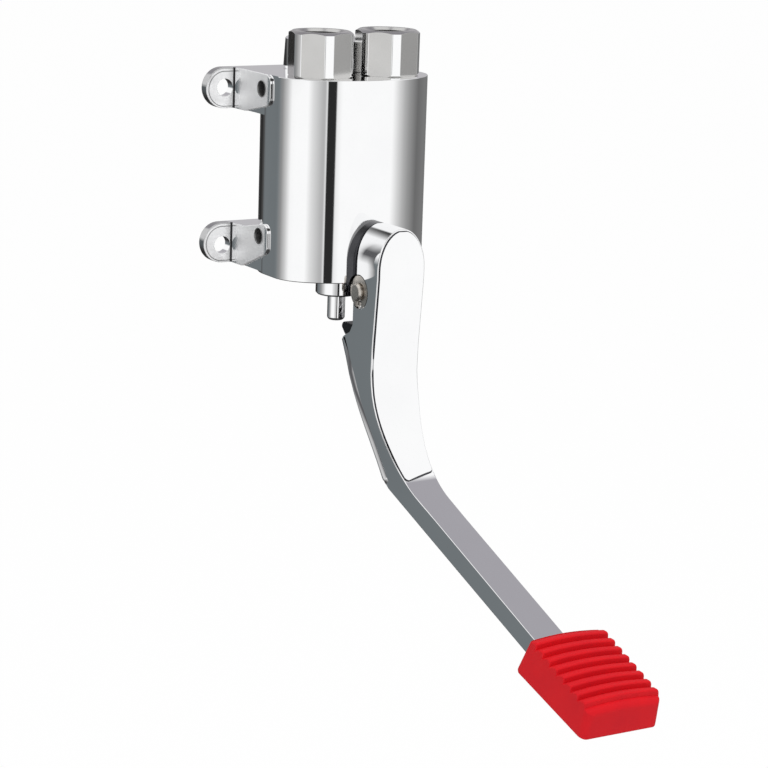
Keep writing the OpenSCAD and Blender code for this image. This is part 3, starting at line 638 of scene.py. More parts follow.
# Near black chrome that stands in for shade and dark reflections: painted shade on the pin boss, on the lever's nose
# and in the line round the panel.
PAINTED_SHADE_DARK = Finish("chrome_as_cast", "chrome", (0.07, 0.07, 0.078), (0.04, 0.04, 0.045), 1.0, 0.2, 0.2,
                 relief=0.2, depth=0.00006)
# Dull grey chrome that lines the tabs' blind holes: painted shade inside the holes.
HOLE_PAINTED_SHADE = Finish("chrome_recess", "chrome", (0.3, 0.3, 0.3), (0.16, 0.16, 0.16), 0.9, 0.35, 0.2,
                relief=0.3, depth=0.0001)
BRASS = Finish("brass_plain", "brass", (0.82, 0.66, 0.34), (0.66, 0.49, 0.22), 1.0, 0.2, 0.2,
               stretch=(1.0, 1.0, 9.0), relief=0.2)
STEEL = Finish("steel_plain", "steel", (0.74, 0.7, 0.65), (0.56, 0.52, 0.47), 1.0, 0.24, 0.2,
               stretch=(9.0, 1.0, 1.0), relief=0.2)
STEEL_MESH = Finish("steel_woven", "steel_mesh", (0.55, 0.56, 0.57), (0.36, 0.36, 0.36), 1.0, 0.3, 0.2,
                    grain=2600.0, relief=0.35)
RUBBER_RED = Finish("rubber_red_matt", "rubber_red", (0.6, 0.006, 0.011), (0.52, 0.006, 0.013), 0.0, 0.55, 0.14,
                    cloud=90.0, grain=1500.0, relief=0.2, depth=0.00008, gloss=0.16)
RUBBER_BLACK = Finish("rubber_black_matt", "rubber_black", (0.025, 0.025, 0.026), (0.05, 0.048, 0.046), 0.0, 0.5, 0.25, relief=0.25)
FIBRE = Finish("fibre_pressed", "fibre", (0.19, 0.13, 0.09), (0.28, 0.2, 0.14), 0.0, 0.75, 0.15, grain=1800.0, relief=0.4)
WHITE_PLASTIC = Finish("white_plastic_plain", "white_plastic", (0.84, 0.84, 0.8), (0.78, 0.77, 0.71), 0.0, 0.35, 0.12, relief=0.1)
DARK_PLASTIC = Finish("dark_plastic_plain", "dark_plastic", (0.035, 0.035, 0.04), (0.06, 0.06, 0.065), 0.0, 0.4, 0.15, relief=0.15)


class Dresser:
    """Turns blanks into named pieces that ride on a body and stand for CAD nodes."""

    def __init__(self) -> None:
        """Starts with nothing dressed."""
        self.done: set[str] = set()

    def piece(self, name: str, blank: Blank, finish: Finish, body: str, nodes: Iterable[str]) -> bpy.types.Object:
        """Makes a blank a piece.

        Args:
            name: The piece's name.
            blank: Its shape, which is used up.
            finish: Its finish.
            body: The body that it rides on.
            nodes: The CAD nodes that it stands for.

        Returns:
            The piece.
        """
        blank.moved(Matrix.Scale(MM, 4))
        for face in blank.bm.faces:
            face.smooth = True
        for edge in blank.bm.edges:
            edge.smooth = edge.calc_face_angle(0) < SHARP if len(edge.link_faces) == 2 else False
        made = bpy.data.objects.new(name, blank.mesh(name))
        blank.bm.free()
        bpy.context.scene.collection.objects.link(made)
        even = made.modifiers.new("even_normals", "WEIGHTED_NORMAL")
        even.keep_sharp = True
        made.data.materials.append(finish.material())
        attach(made, body)
        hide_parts(*nodes)
        self.done.update(nodes)
        log.info("%s: %d faces, %s, on %s", name, len(made.data.polygons), finish.slot, body)
        return made

    def node(self, name: str, finish: Finish) -> None:
        """Gives a CAD node that stays in view its finish."""
        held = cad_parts[name]
        held.data.materials.clear()
        held.data.materials.append(finish.material())
        self.done.add(name)
        log.info("%s: CAD form, %s", name, finish.slot)


@dataclass
class Casting:
    """Oval column with two pairs of ears, the arched boss and the lug, all one casting."""

    half_width: float = 37.0
    half_height: float = 45.0
    front_bulge: float = 25.0
    rear_bulge: float = 29.5
    flank_front: float = -44.0
    flank_rear: float = -34.0
    rim_top: float = 1.0
    rim_foot: float = 0.5
    ear_h: float = 18.4
    ear_t: float = 5.0
    ear_x: float = 43.0
    ear_z: float = 36.0
    ear_reach: float = 52.45
    ear_hole: float = 4.0
    arm_half: float = 38.3
    tab_front: float = 38.6
    tab_h: float = 13.4
    tab_round: float = 4.0
    tab_hole: float = 3.2
    tab_hole_deep: float = 7.0
    tab_hole_y: float = -31.0
    ear_edge: float = 1.3
    lean: float = -0.3
    sweep: Point = (0.9, 2.6)
    sink: Point = (3.7, 0.7)
    lining: float = 0.15
    web_half: float = 36.9
    upper_low: float = 26.6
    lower_low: float = -44.2
    tab_rise: float = 4.6
    boss_front: float = -73.7
    boss_back: float = -60.0
    boss_half: float = 13.0
    boss_foot: float = -45.0
    boss_spring: float = -35.3
    boss_rise: float = 18.0
    lug_half: float = 8.15
    pin: Point = (-77.0, -47.0)
    pin_r: float = 4.03
    spot_r: float = 7.75
    inlet: Point = (17.0, -46.0)
    cartridge: Point = (11.0, -55.5)
    outlet_y: float = -18.4

    def oval(self) -> list[Point]:
        """The column's plan: a half ellipse at the front and one at the rear, with straight flanks."""
        turns = [math.radians(180 * i / 72) for i in range(73)]
        rear = [(self.half_width * math.cos(a), self.flank_rear + self.rear_bulge * math.sin(a)) for a in turns]
        front = [(-self.half_width * math.cos(a), self.flank_front - self.front_bulge * math.sin(a))
                 for a in turns]
        return rear + front

    def column(self) -> Blank:
        """The column with its rims rounded and its water ways bored."""
        body = Blank().prism(self.oval(), Plane.PLAN, -self.half_height, self.half_height)
        body.soften(self.rim_top, 4, lambda e: all(v.co.z > 0 and v.co.y < -self.tab_front + 2 for v in e.verts))
        body.soften(self.rim_foot, 4, lambda e: e.verts[0].co.z < 0)
        for side in Side:
            x, y = side.value * self.inlet[0], self.inlet[1]
            body.cut(rod(10.23, Vector((x, y, 34)), Vector((x, y, 60))))
            x, y = side.value * self.cartridge[0], self.cartridge[1]
            body.cut(rod(8.0, Vector((x, y, -60)), Vector((x, y, 15))))
        body.cut(rod(12.23, Vector((0, self.outlet_y, 34)), Vector((0, self.outlet_y, 60))))
        for side in (-1, 1):
            for tab_low in (self.upper_tab, self.lower_tab):
                body.cut(self.tab_hole_at(side, tab_low))
        return body

    @property
    def upper_tab(self) -> float:
        """The height of the upper tabs' undersides."""
        return self.half_height - self.tab_h

    @property
    def lower_tab(self) -> float:
        """The height of the lower tabs' undersides."""
        return self.lower_low + self.ear_h - self.tab_h + self.tab_rise

    @property
    def tab_face(self) -> float:
        """Half the width over the tabs' sides, which lean outwards to the front, at their blind holes."""
        return self.arm_half + self.lean * (1 + 2 * self.tab_hole_y / self.tab_front)

    def tab_hole_at(self, side: int, tab_low: float) -> Blank:
        """The drill for a tab's blind hole.

        Args:
            side: -1 for the left and 1 for the right.
            tab_low: The height of the tab's underside.

        Returns:
            The drill as a blank.
        """
        mouth = Vector((side * self.tab_face, self.tab_hole_y, tab_low + self.tab_h / 2))
        deep = self.tab_hole_deep
        wide, sunk = self.sink
        wall = [(0.0, 1.0), (wide + 0.7, 1.0), (wide, 0.0), (self.tab_hole, -sunk), (self.tab_hole, -deep), (0.0, -deep)]
        return Blank().turned(wall, mouth, Vector((side, 0, 0)), 48)

    def recess(self, side: int, tab_low: float) -> Blank:
        """A thin dark lining inside a tab's blind hole, as painted shade.

        Args:
            side: -1 for the left and 1 for the right.
            tab_low: The height of the tab's underside.

        Returns:
            The lining as a blank.
        """
        mouth = Vector((side * self.tab_face, self.tab_hole_y, tab_low + self.tab_h / 2))
        wide, sunk = self.sink
        hole, deep, thin = self.tab_hole, self.tab_hole_deep, self.lining
        wall = [(wide - thin, -0.02), (wide, -0.02), (hole, -sunk), (hole, -deep), (0.0, -deep), (0.0, thin - deep),
                (hole - thin, thin - deep), (hole - thin, -sunk)]
        return Blank().turned(wall, mouth, Vector((side, 0, 0)), 48)

    def fold(self, side: int, low: float) -> Blank:
        """The hollow fillet between an ear and its tab.

        Args:
            side: -1 for the left and 1 for the right.
            low: The height of the arm's underside.

        Returns:
            The fillet as a blank.
        """
        wide, long = self.sweep
        foot = self.arm_half + self.lean * 0.7
        turns = [math.radians(90 * i / 16) for i in range(17)]
        hollow = [(side * (foot + wide * (1 - math.cos(a))), -self.ear_t - long * (1 - math.sin(a)))
                  for a in turns]
        corner = [(side * (foot + wide), -self.ear_t + 1), (side * (foot - 2), -self.ear_t + 1),
                  (side * (foot - 2), -self.ear_t - long)]
        return Blank().prism(hollow + corner, Plane.PLAN, low, low + self.ear_h)

    def arm(self, low: float, tab_low: float, hole_z: float) -> Blank:
        """One pair of ears with the block that clasps the column.

        Args:
            low: The height of its underside.
            tab_low: The height of its tabs' undersides.
            hole_z: The height of its wall screws.

        Returns:
            The arm as a blank.
        """
        half = self.ear_h / 2
        middle = low + half
        reach = self.ear_reach - half
        stadium = (arc((reach, middle), half, -90, 90, 24) + arc((-reach, middle), half, 90, 270, 24))
        slope = -0.4 * self.tab_front
        side_view = rounded([
            (0.0, low + self.ear_h, 0.0), (0.0, low, 0.0), (slope, low, self.tab_round),
            (-self.tab_front, tab_low, self.tab_round), (-self.tab_front, tab_low + self.tab_h, self.tab_round),
            (slope, low + self.ear_h, self.tab_round),
        ])
        arm = Blank().prism(side_view, Plane.SIDE, -self.arm_half, self.arm_half)
        for v in arm.bm.verts:
            v.co.x += math.copysign(self.lean, v.co.x) * (1 + 2 * v.co.y / self.tab_front)
        arm.joined(Blank().prism(stadium, Plane.FRONT, -self.ear_t, 0.0))
        for side in (-1, 1):
            arm.joined(self.fold(side, low))
        arm.simplified().soften(self.ear_edge, 3)
        web = [(-self.web_half, -1.0), (-self.web_half, self.flank_rear - 2), (self.web_half, self.flank_rear - 2),
               (self.web_half, -1.0)]
        arm.joined(Blank().prism(web, Plane.PLAN, low + 0.1, low + half))
        for side in (-1, 1):
            ear = Vector((side * self.ear_x, 0, hole_z))
            arm.cut(rod(self.ear_hole, ear + Vector((0, 2, 0)), ear - Vector((0, self.ear_t + 2, 0))))
            arm.cut(self.tab_hole_at(side, tab_low))
        arm.cut(Blank().prism(self.oval(), Plane.PLAN, -60, 60))
        return arm

    def boss(self) -> Blank:
        """The arched boss with the lug for the pin."""
        arch = [(self.boss_half, self.boss_foot)]
        arch += [(self.boss_half * math.cos(a), self.boss_spring + self.boss_rise * math.sin(a))
                 for a in (math.radians(180 * i / 48) for i in range(49))]
        arch.append((-self.boss_half, self.boss_foot))
        block = Blank().prism(arch, Plane.FRONT, self.boss_front, self.boss_back)
        block.soften(0.7, 3, lambda e: all(v.co.y < self.boss_front + 0.1 for v in e.verts))
        y, z = self.pin
        lug = rounded([
            (-62.0, z + 17.0, 0.0), (y - 6.5, z + 17.0, 4.0), (y - 6.5, z - 6.2, 6.3),
            (y + 7.5, z - 6.2, 3.0), (-65.3, self.boss_foot, 0.0), (-62.0, self.boss_foot, 0.0),
        ])
        block.joined(Blank().prism(lug, Plane.SIDE, -self.lug_half, self.lug_half).soften(0.5, 2))
        for side in (-1, 1):
            start = Vector((side * self.lug_half, y, z))
            block.cut(rod(self.spot_r, start, start + Vector((side * 9, 0, 0))))
        block.cut(rod(self.pin_r, Vector((-20, y, z)), Vector((20, y, z))))
        return block

    def dress(self, dresser: Dresser) -> None:
        """Makes the casting's pieces."""
        dresser.piece("column", self.column(), CHROME, "valve", ["valve_body"])
        dresser.piece("upper_ears", self.arm(self.upper_low, self.upper_tab, self.ear_z), SOFT_TABS_PAINTED_SHADE, "valve",
                      ["valve_body"])
        dresser.piece("lower_ears", self.arm(self.lower_low, self.lower_tab, -self.ear_z), SOFT_TABS_PAINTED_SHADE, "valve",
                      ["valve_body"])
        for side in (-1, 1):
            for name, tab_low in (("upper", self.upper_tab), ("lower", self.lower_tab)):
                # Each blind hole gets a grey lining as painted shade.
                dresser.piece(f"{name}_tab_recess_{'left' if side < 0 else 'right'}", self.recess(side, tab_low),
                              HOLE_PAINTED_SHADE, "valve", ["valve_body"])
        # The boss is finished near black as painted shade and dark reflection.
        dresser.piece("pin_boss", self.boss(), PAINTED_SHADE_DARK, "valve", ["valve_body"])


@dataclass
class PipeThread:
    """Parallel female pipe thread as ring grooves below a mouth."""

    crest: float
    pitch: float
    root: float

    def profile(self, top: float, depth: float) -> list[Point]:
        """The bore's wall from its mouth down to its floor.

        Args:
            top: The mouth's height.
            depth: The bore's depth.

        Returns:
            Points of (radius, height).
        """
        wall: list[Point] = [(self.root + 0.3, top), (self.crest, top - 1.2)]
        count = int((depth - 2.4) / self.pitch)
        for i in range(count):
            z = top - 1.2 - self.pitch * i
            wall += [(self.crest, z - 0.25 * self.pitch), (self.root, z - 0.5 * self.pitch),
                     (self.root, z - 0.6 * self.pitch), (self.crest, z - 0.9 * self.pitch)]
        wall.append((self.crest, top - depth))
        return wall


@dataclass
class Unions:
    """Both hexagon inlet unions and the round outlet socket behind them."""

    inlet_x: float = 17.0
    inlet_y: float = -46.0
    foot: float = 45.0
    top: float = 65.0
    flat: float = 13.5
    corner: float = 14.6
    turn: float = 16.0
    chamfer: float = 1.1
    port_deep: float = 13.0
    inlet_thread: PipeThread = field(default_factory=lambda: PipeThread(9.32, 1.814, 10.3))
    outlet_thread: PipeThread = field(default_factory=lambda: PipeThread(12.07, 1.814, 13.0))
    outlet_y: float = -18.4
    outlet_top: float = 59.0

    def inlet(self, side: Side) -> Blank:
        """One inlet union: turned outside and bored, then its six flats are milled."""
        c = self.chamfer
        outside = [(10.2, 35.0), (10.2, self.foot), (self.corner - 0.6, self.foot),
                   (self.corner, self.foot + 0.5), (self.corner, self.top - c),
                   (self.corner - 1.6 * c, self.top)]
        inside = self.inlet_thread.profile(self.top, self.port_deep)
        inside += [(8.0, 52.0), (8.0, 50.37), (6.5, 50.37), (6.5, 37.0), (4.5, 37.0), (4.5, 35.0)]
        centre = Vector((side.value * self.inlet_x, self.inlet_y, 0))
        body = Blank().turned(outside + inside, centre, Vector((0, 0, 1)), 120)
        for k in range(6):
            a = math.radians(self.turn + 30 + 60 * k)
            out = Vector((math.cos(a), math.sin(a), 0))
            body.faced(out, centre + out * self.flat, 0.22)
        return body.tidy()

    def outlet(self) -> Blank:
        """The round mixed water outlet, slightly tapered, with its own pipe thread."""
        wall = [(12.2, 35.0), (12.2, self.foot), (17.9, self.foot), (18.2, self.foot + 0.5),
                (17.5, self.outlet_top - 0.6), (16.9, self.outlet_top)]
        wall += self.outlet_thread.profile(self.outlet_top, 11.0)
        wall += [(7.5, 48.0), (7.5, 35.0)]
        return Blank().turned(wall, Vector((0, self.outlet_y, 0)), Vector((0, 0, 1)), 120)

    def dress(self, dresser: Dresser) -> None:
        """Makes the unions and the outlet."""
        for side in Side:
            name = f"inlet_union_{side.word}"
            dresser.piece(f"{name}_turned", self.inlet(side), MILLED, "valve", [name])
        dresser.piece("outlet_turned", self.outlet(), CHROME, "valve", ["outlet_socket"])


@dataclass
class Cartridges:
    """Both valve cartridges with their push rods."""

    x: float = 11.0
    y: float = -55.5
    rod_r: float = 4.0
    rod_tip: float = -63.5

    def cage(self, side: Side) -> Blank:
        """One cartridge: round flange, guide and seat."""
        wall = [(4.05, -51.6), (8.7, -51.6), (9.5, -50.8), (9.5, -45.35), (9.15, -45.0), (7.97, -45.0),
                (7.97, -14.0), (4.5, -14.0), (4.5, -16.5), (6.0, -16.5), (6.0, -31.0), (4.05, -31.0)]
        return Blank().turned(wall, self.centre(side), Vector((0, 0, 1)))

    def push_rod(self, side: Side) -> Blank:
        """One push rod with its rounded nose."""
        nose = arc((self.rod_r - 1.6, self.rod_tip + 1.6), 1.6, -90, 0, 8)
        shank = [(self.rod_r, -29.0), (2.5, -28.0), (2.5, -7.47), (0.0, -7.47)]
        return Blank().turned([(0.0, self.rod_tip)] + nose + shank, self.centre(side), Vector((0, 0, 1)), 64)

    def centre(self, side: Side) -> Vector:
        """Height 0 on the cartridge's axis."""
        return Vector((side.value * self.x, self.y, 0))

    def dress(self, dresser: Dresser) -> None:
        """Makes the cartridges and the rods, which rise as the pedal goes down."""
        for side in Side:
            dresser.piece(f"cartridge_{side.word}_turned", self.cage(side), CHROME, "valve",
                          [f"cartridge_{side.word}"])
            dresser.piece(f"push_rod_{side.word}_turned", self.push_rod(side), CHROME,
                          f"plunger_{side.word}", [f"push_rod_{side.word}"])


@dataclass
class Pivot:
    """The pin that the lever turns on."""

    y: float = -77.0
    z: float = -47.0
    r: float = 4.0
    half: float = 14.0
    groove: Point = (10.8, 12.6)

    def pin(self) -> Blank:
        """The pin with broken ends and a groove for each clip."""
        near, far = self.groove
        deep = self.r - 0.8
        wall = [(0.0, self.half), (self.r - 0.8, self.half), (self.r, self.half - 0.8), (self.r, far),
                (deep, far), (deep, near), (self.r, near)]
        wall += [(r, -x) for r, x in reversed(wall)]
        return Blank().turned(wall, Vector((0, self.y, self.z)), Vector((1, 0, 0)), 64)

    def dress(self, dresser: Dresser) -> None:
        """Makes the pin."""
        dresser.piece("pivot_pin_turned", self.pin(), STEEL, "valve", ["pivot_pin"])


@dataclass
class Lever:
    """Lever with an arched hollow head, a waist, a long bend and the arm that carries the pad."""

    half: float = 12.0
    arm_half: float = 7.5
    head_front: float = -92.6
    head_back: float = -74.0
    notch_back: float = -72.0
    arch_z: float = -35.0
    arch_rise: float = 18.0
    neck_front: float = -89.4
    bend: Point = (-146.8, -77.0)
    bend_r: float = 57.4
    slope: float = 20.5
    arm_t: float = 10.0
    arm_end_t: float = 8.7
    arm_end: float = 110.0
    waist_top: float = -89.0
    waist_low: float = -136.8
    heel: Point = (-63.1, -70.9)
    knee: Point = (-98.5, -131.0)
    knee_r: float = 9.0
    pin: Point = (-77.0, -47.0)
    front_edge: float = 1.3
    back_edge: float = 0.8
    panel_t: float = 0.8
    panel_crown: float = 0.5
    panel_margin: float = 0.95
    panel_deep: float = 1.6
    panel_turn: float = 54.5
    panel_foot: float = 1.6
    panel_slant: Point = (1.6, 16.0)
    arch_from: float = 80.0
    hood_half: float = 9.0
    hood_rise: float = 14.6
    bead: tuple[Point, ...] = ((-1.2, 3.4), (0.0, 3.2), (1.0, 1.7), (1.0, 0.7), (0.4, 0.1), (-1.2, 0.1))

    @property
    def bend_turn(self) -> float:
        """The bend's whole turn in degrees."""
        return 90.0 - self.slope

    def width(self, z: float) -> float:
        """Half the lever's width at a height."""
        t = max(0.0, min(1.0, (self.waist_top - z) / (self.waist_top - self.waist_low)))
        return self.half - (self.half - self.arm_half) * t * t * (3 - 2 * t)

    def on_arm(self, along: float, above: float) -> Point:
        """A place in (Y, Z) on the arm.

        Args:
            along: The distance from the bend's end.
            above: The height over the arm's top.

        Returns:
            The place.
        """
        a = math.radians(self.slope)
        end = self.on_bend(self.bend_turn, self.bend_r)
        return (end[0] - along * math.cos(a) - above * math.sin(a),
                end[1] - along * math.sin(a) + above * math.cos(a))

    def on_bend(self, turn: float, radius: float) -> Point:
        """A place in (Y, Z) on the front bend at a turn in degrees from its top."""
        a = math.radians(turn)
        return (self.bend[0] + radius * math.cos(a), self.bend[1] - radius * math.sin(a))

    def stations(self) -> list[tuple[Point, Point]]:
        """Matching places on the lever's front and back, from the arch's foot to the arm's end."""
        front = self.head_front
        pairs = [((front, -35.0), (self.head_back, -35.0)), ((front, -39.0), (self.head_back, -41.0)),
                 ((-92.1, -45.0), (self.head_back, -45.0)), ((-91.6, -50.5), (self.notch_back, -50.0)),
                 ((-90.7, -61.0), (self.notch_back, -62.5)), ((-90.3, -65.0), (-69.6, -66.3)),
                 ((-90.1, -67.5), (-65.2, -68.6)), ((-90.0, -68.7), (-63.9, -69.5)), ((-89.9, -70.0), self.heel)]
        knee = self.knee_points()
        start = Vector(self.heel)
        ahead = Vector(knee[0]) - start
        for i in range(1, 12):
            share = i / 12
            turn = self.bend_turn * 0.82 * share
            pairs.append((self.on_bend(turn, self.bend_r), tuple(start + ahead * share)))
        for i, place in enumerate(knee):
            turn = self.bend_turn * (0.82 + 0.18 * i / (len(knee) - 1))
            pairs.append((self.on_bend(turn, self.bend_r), place))
        for along in (14.0, 45.0, 80.0, self.arm_end):
            thick = self.arm_t + (self.arm_end_t - self.arm_t) * along / self.arm_end
            pairs.append((self.on_arm(along, 0.0), self.on_arm(along, -thick)))
        return pairs

    def knee_points(self) -> list[Point]:
        """The rounded knee at the back of the bend."""
        outline = rounded([(*self.heel, 0.0), (*self.knee, self.knee_r), (*self.on_arm(60.0, -9.3), 0.0)], 5)
        return outline[1:-1]

    def section(self, front: Point, back: Point, share: float = 1.0) -> list[Vector]:
        """One four cornered section of the lever.

        Args:
            front: Its front edge in (Y, Z).
            back: Its back edge in (Y, Z).
            share: Its share of the lever's width there.

        Returns:
            The corners: left and right at the front, then right and left at the back.
        """
        near, far = self.width(front[1]) * share, self.width(back[1]) * share
        return [Vector((-near, *front)), Vector((near, *front)), Vector((far, *back)), Vector((-far, *back))]

    def body(self) -> Blank:
        """The lever's head, waist, bend and arm."""
        steps = 14
        rings = []
        for i in range(steps, 0, -1):
            a = math.radians(self.arch_from * i / steps)
            z = self.arch_z + self.arch_rise * math.sin(a)
            rings.append(self.section((self.head_front, z), (self.head_back, z), math.cos(a)))
        rings += [self.section(*pair) for pair in self.stations()]
        lever = Blank().lofted(rings)
        row = lever.bm.verts.layers.int["row"]
        lever.soften(self.front_edge, 4, lambda e: all(v[row] in (0, 1) for v in e.verts))
        lever.soften(self.back_edge, 2, lambda e: all(v[row] in (2, 3) for v in e.verts))
        y, z = self.pin
        for side in (-1, 1):
            eye = Vector((side * (self.half - 3), y, z))
            lever.joined(rod(6.3, eye, eye + Vector((side * 3, 0, 0))))
        hood = [(self.hood_half, -56.5)]
        hood += [(self.hood_half * math.cos(a), self.arch_z + self.hood_rise * math.sin(a))
                 for a in (math.radians(180 * i / 36) for i in range(37))]
        hood.append((-self.hood_half, -56.5))
        lever.cut(Blank().prism(hood, Plane.FRONT, -88.6, self.head_back + 12))
        notch = rounded([
            (self.notch_back + 12, -50.0, 0.0), (-76.0, -50.0, 0.0), (-76.0, -62.5, 2.0),
            (self.notch_back + 12, -62.5, 0.0),
        ])
        lever.cut(Blank().prism(notch, Plane.SIDE, -self.hood_half, self.hood_half))
        for side in (-1, 1):
            start = Vector((side * (self.half - 1.5), y, z))
            lever.cut(rod(7.75, start, start + Vector((side * 6, 0, 0))))
        lever.cut(rod(5.03, Vector((-20, y, z)), Vector((20, y, z))))
        return lever

    def cheek_bead(self, side: int) -> Blank:
        """The cast bead along the back edge of one cheek, from the heel to the knee.

        Args:
            side: -1 for the left and 1 for the right.

        Returns:
            The bead as a blank.
        """
        start, knee = Vector(self.heel), [Vector(p) for p in self.knee_points()]
        path = [start.lerp(knee[0], i / 8) for i in range(8)] + knee[:3]
        rings = []
        for i, place in enumerate(path):
            ahead = (path[min(i + 1, len(path) - 1)] - path[max(i - 1, 0)]).normalized()
            inward = Vector((ahead.y, -ahead.x))
            swell = min(1.0, i / 2, (len(path) - 1 - i) / 2)
            ring = []
            for out, deep in self.bead:
                spot = place + inward * deep
                ring.append(Vector((side * (self.width(spot.y) + (out * swell if out > 0 else out)), spot.x, spot.y)))
            rings.append(ring)
        return Blank().lofted(rings)

    def panel(self, grow: float = 0.0, sunk: float = 0.0) -> Blank:
        """The raised panel on the lever's front, slightly crowned across, or the dark sheet round it that paints the
        shade line along its edge.

        Args:
            grow: How much wider it is on each side.
            sunk: How much lower its face lies.

        Returns:
            The panel as a blank.
        """
        margin = self.panel_margin - grow
        face = self.panel_t - sunk
        level = (-1.0, 0.0)
        rings = []
        steps = 14
        for i in range(steps, 0, -1):
            a = math.radians(self.arch_from * i / steps)
            z = self.arch_z + (self.arch_rise - margin) * math.sin(a)
            rings.append(self.across((self.head_front, z), level, (self.half - margin) * math.cos(a), face))
        for y, z in ((self.head_front, -35.0), (self.head_front, -39.0), (-91.6, -51.0), (-90.4, -65.0)):
            rings.append(self.across((y, z), level, self.width(z) - margin, face))
        corner = math.degrees(self.panel_foot / self.bend_r)
        last = self.panel_turn + math.degrees(grow / self.bend_r)
        turns = [(last - corner) * i / 22 for i in range(23)]
        turns += [last - corner * (1 - math.sin(math.radians(90 * i / 6))) for i in range(1, 7)]
        for turn in turns:
            place = self.on_bend(turn, self.bend_r)
            a = math.radians(turn)
            short = max(0.0, self.panel_foot - math.radians(last - turn) * self.bend_r)
            inset = self.panel_foot - math.sqrt(max(0.0, self.panel_foot ** 2 - short ** 2))
            slant, reach = self.panel_slant
            drift = slant * max(0.0, 1 - (last - turn) / reach)
            rings.append(self.across(place, (-math.cos(a), math.sin(a)), self.width(place[1]) - margin - inset, face,
                                     drift))
        shell = Blank().lofted(rings)
        return shell.soften(0.3, 3) if sunk == 0 else shell

    def across(self, place: Point, out: Point, half: float, face: float, drift: float = 0.0) -> list[Vector]:
        """One section of the raised panel.

        Args:
            place: A place on the lever's front, in (Y, Z).
            out: The outward direction there.
            half: Half the panel's width.
            face: The height of its face over the lever's front.
            drift: How far its right edge lies up the lever and its left edge down.

        Returns:
            The section, over its crown and back below the lever's face.
        """
        count = 8
        ring = []
        for i in range(count + 1):
            share = 2 * i / count - 1
            rise = face + self.panel_crown * (1 - share * share) * half / self.half
            ring.append(Vector((half * share, place[0] + out[0] * rise + out[1] * drift * share,
                                place[1] + out[1] * rise - out[0] * drift * share)))
        for share in (1, -1):
            ring.append(Vector((half * share, place[0] - out[0] * self.panel_deep + out[1] * drift * share,
                                place[1] - out[1] * self.panel_deep - out[0] * drift * share)))
        return ring

    def nose(self) -> Blank:
        """The heel's nose, which lifts both push rods."""
        outline = rounded([(-78.0, -63.8, 0.0), (-78.0, -78.0, 0.0), (-66.4, -73.0, 0.0), (-60.2, -68.8, 0.0),
                           (-57.8, -66.5, 0.0), (-57.8, -63.8, 2.4)])
        return Blank().prism(outline, Plane.SIDE, -9.2, 9.2).soften(0.5, 2)

    def dress(self, dresser: Dresser) -> None:
        """Makes the lever's pieces."""
        dresser.piece("lever_body", self.body(), CHROME, "pedal", ["pedal_lever"])
        dresser.piece("lever_panel", self.panel(), CHROME, "pedal", ["pedal_lever"])
        # A slightly wider, sunk copy of the panel in near black: painted shade along the panel's edge.
        dresser.piece("lever_panel_seam", self.panel(0.35, 0.62), PAINTED_SHADE_DARK, "pedal", ["pedal_lever"])
        for side in (-1, 1):
            name = "left" if side < 0 else "right"
            dresser.piece(f"lever_bead_{name}", self.cheek_bead(side), CHROME, "pedal", ["pedal_lever"])
        # The nose is finished near black as painted shade and dark reflection.
        dresser.piece("lever_nose", self.nose(), PAINTED_SHADE_DARK, "pedal", ["pedal_lever"])


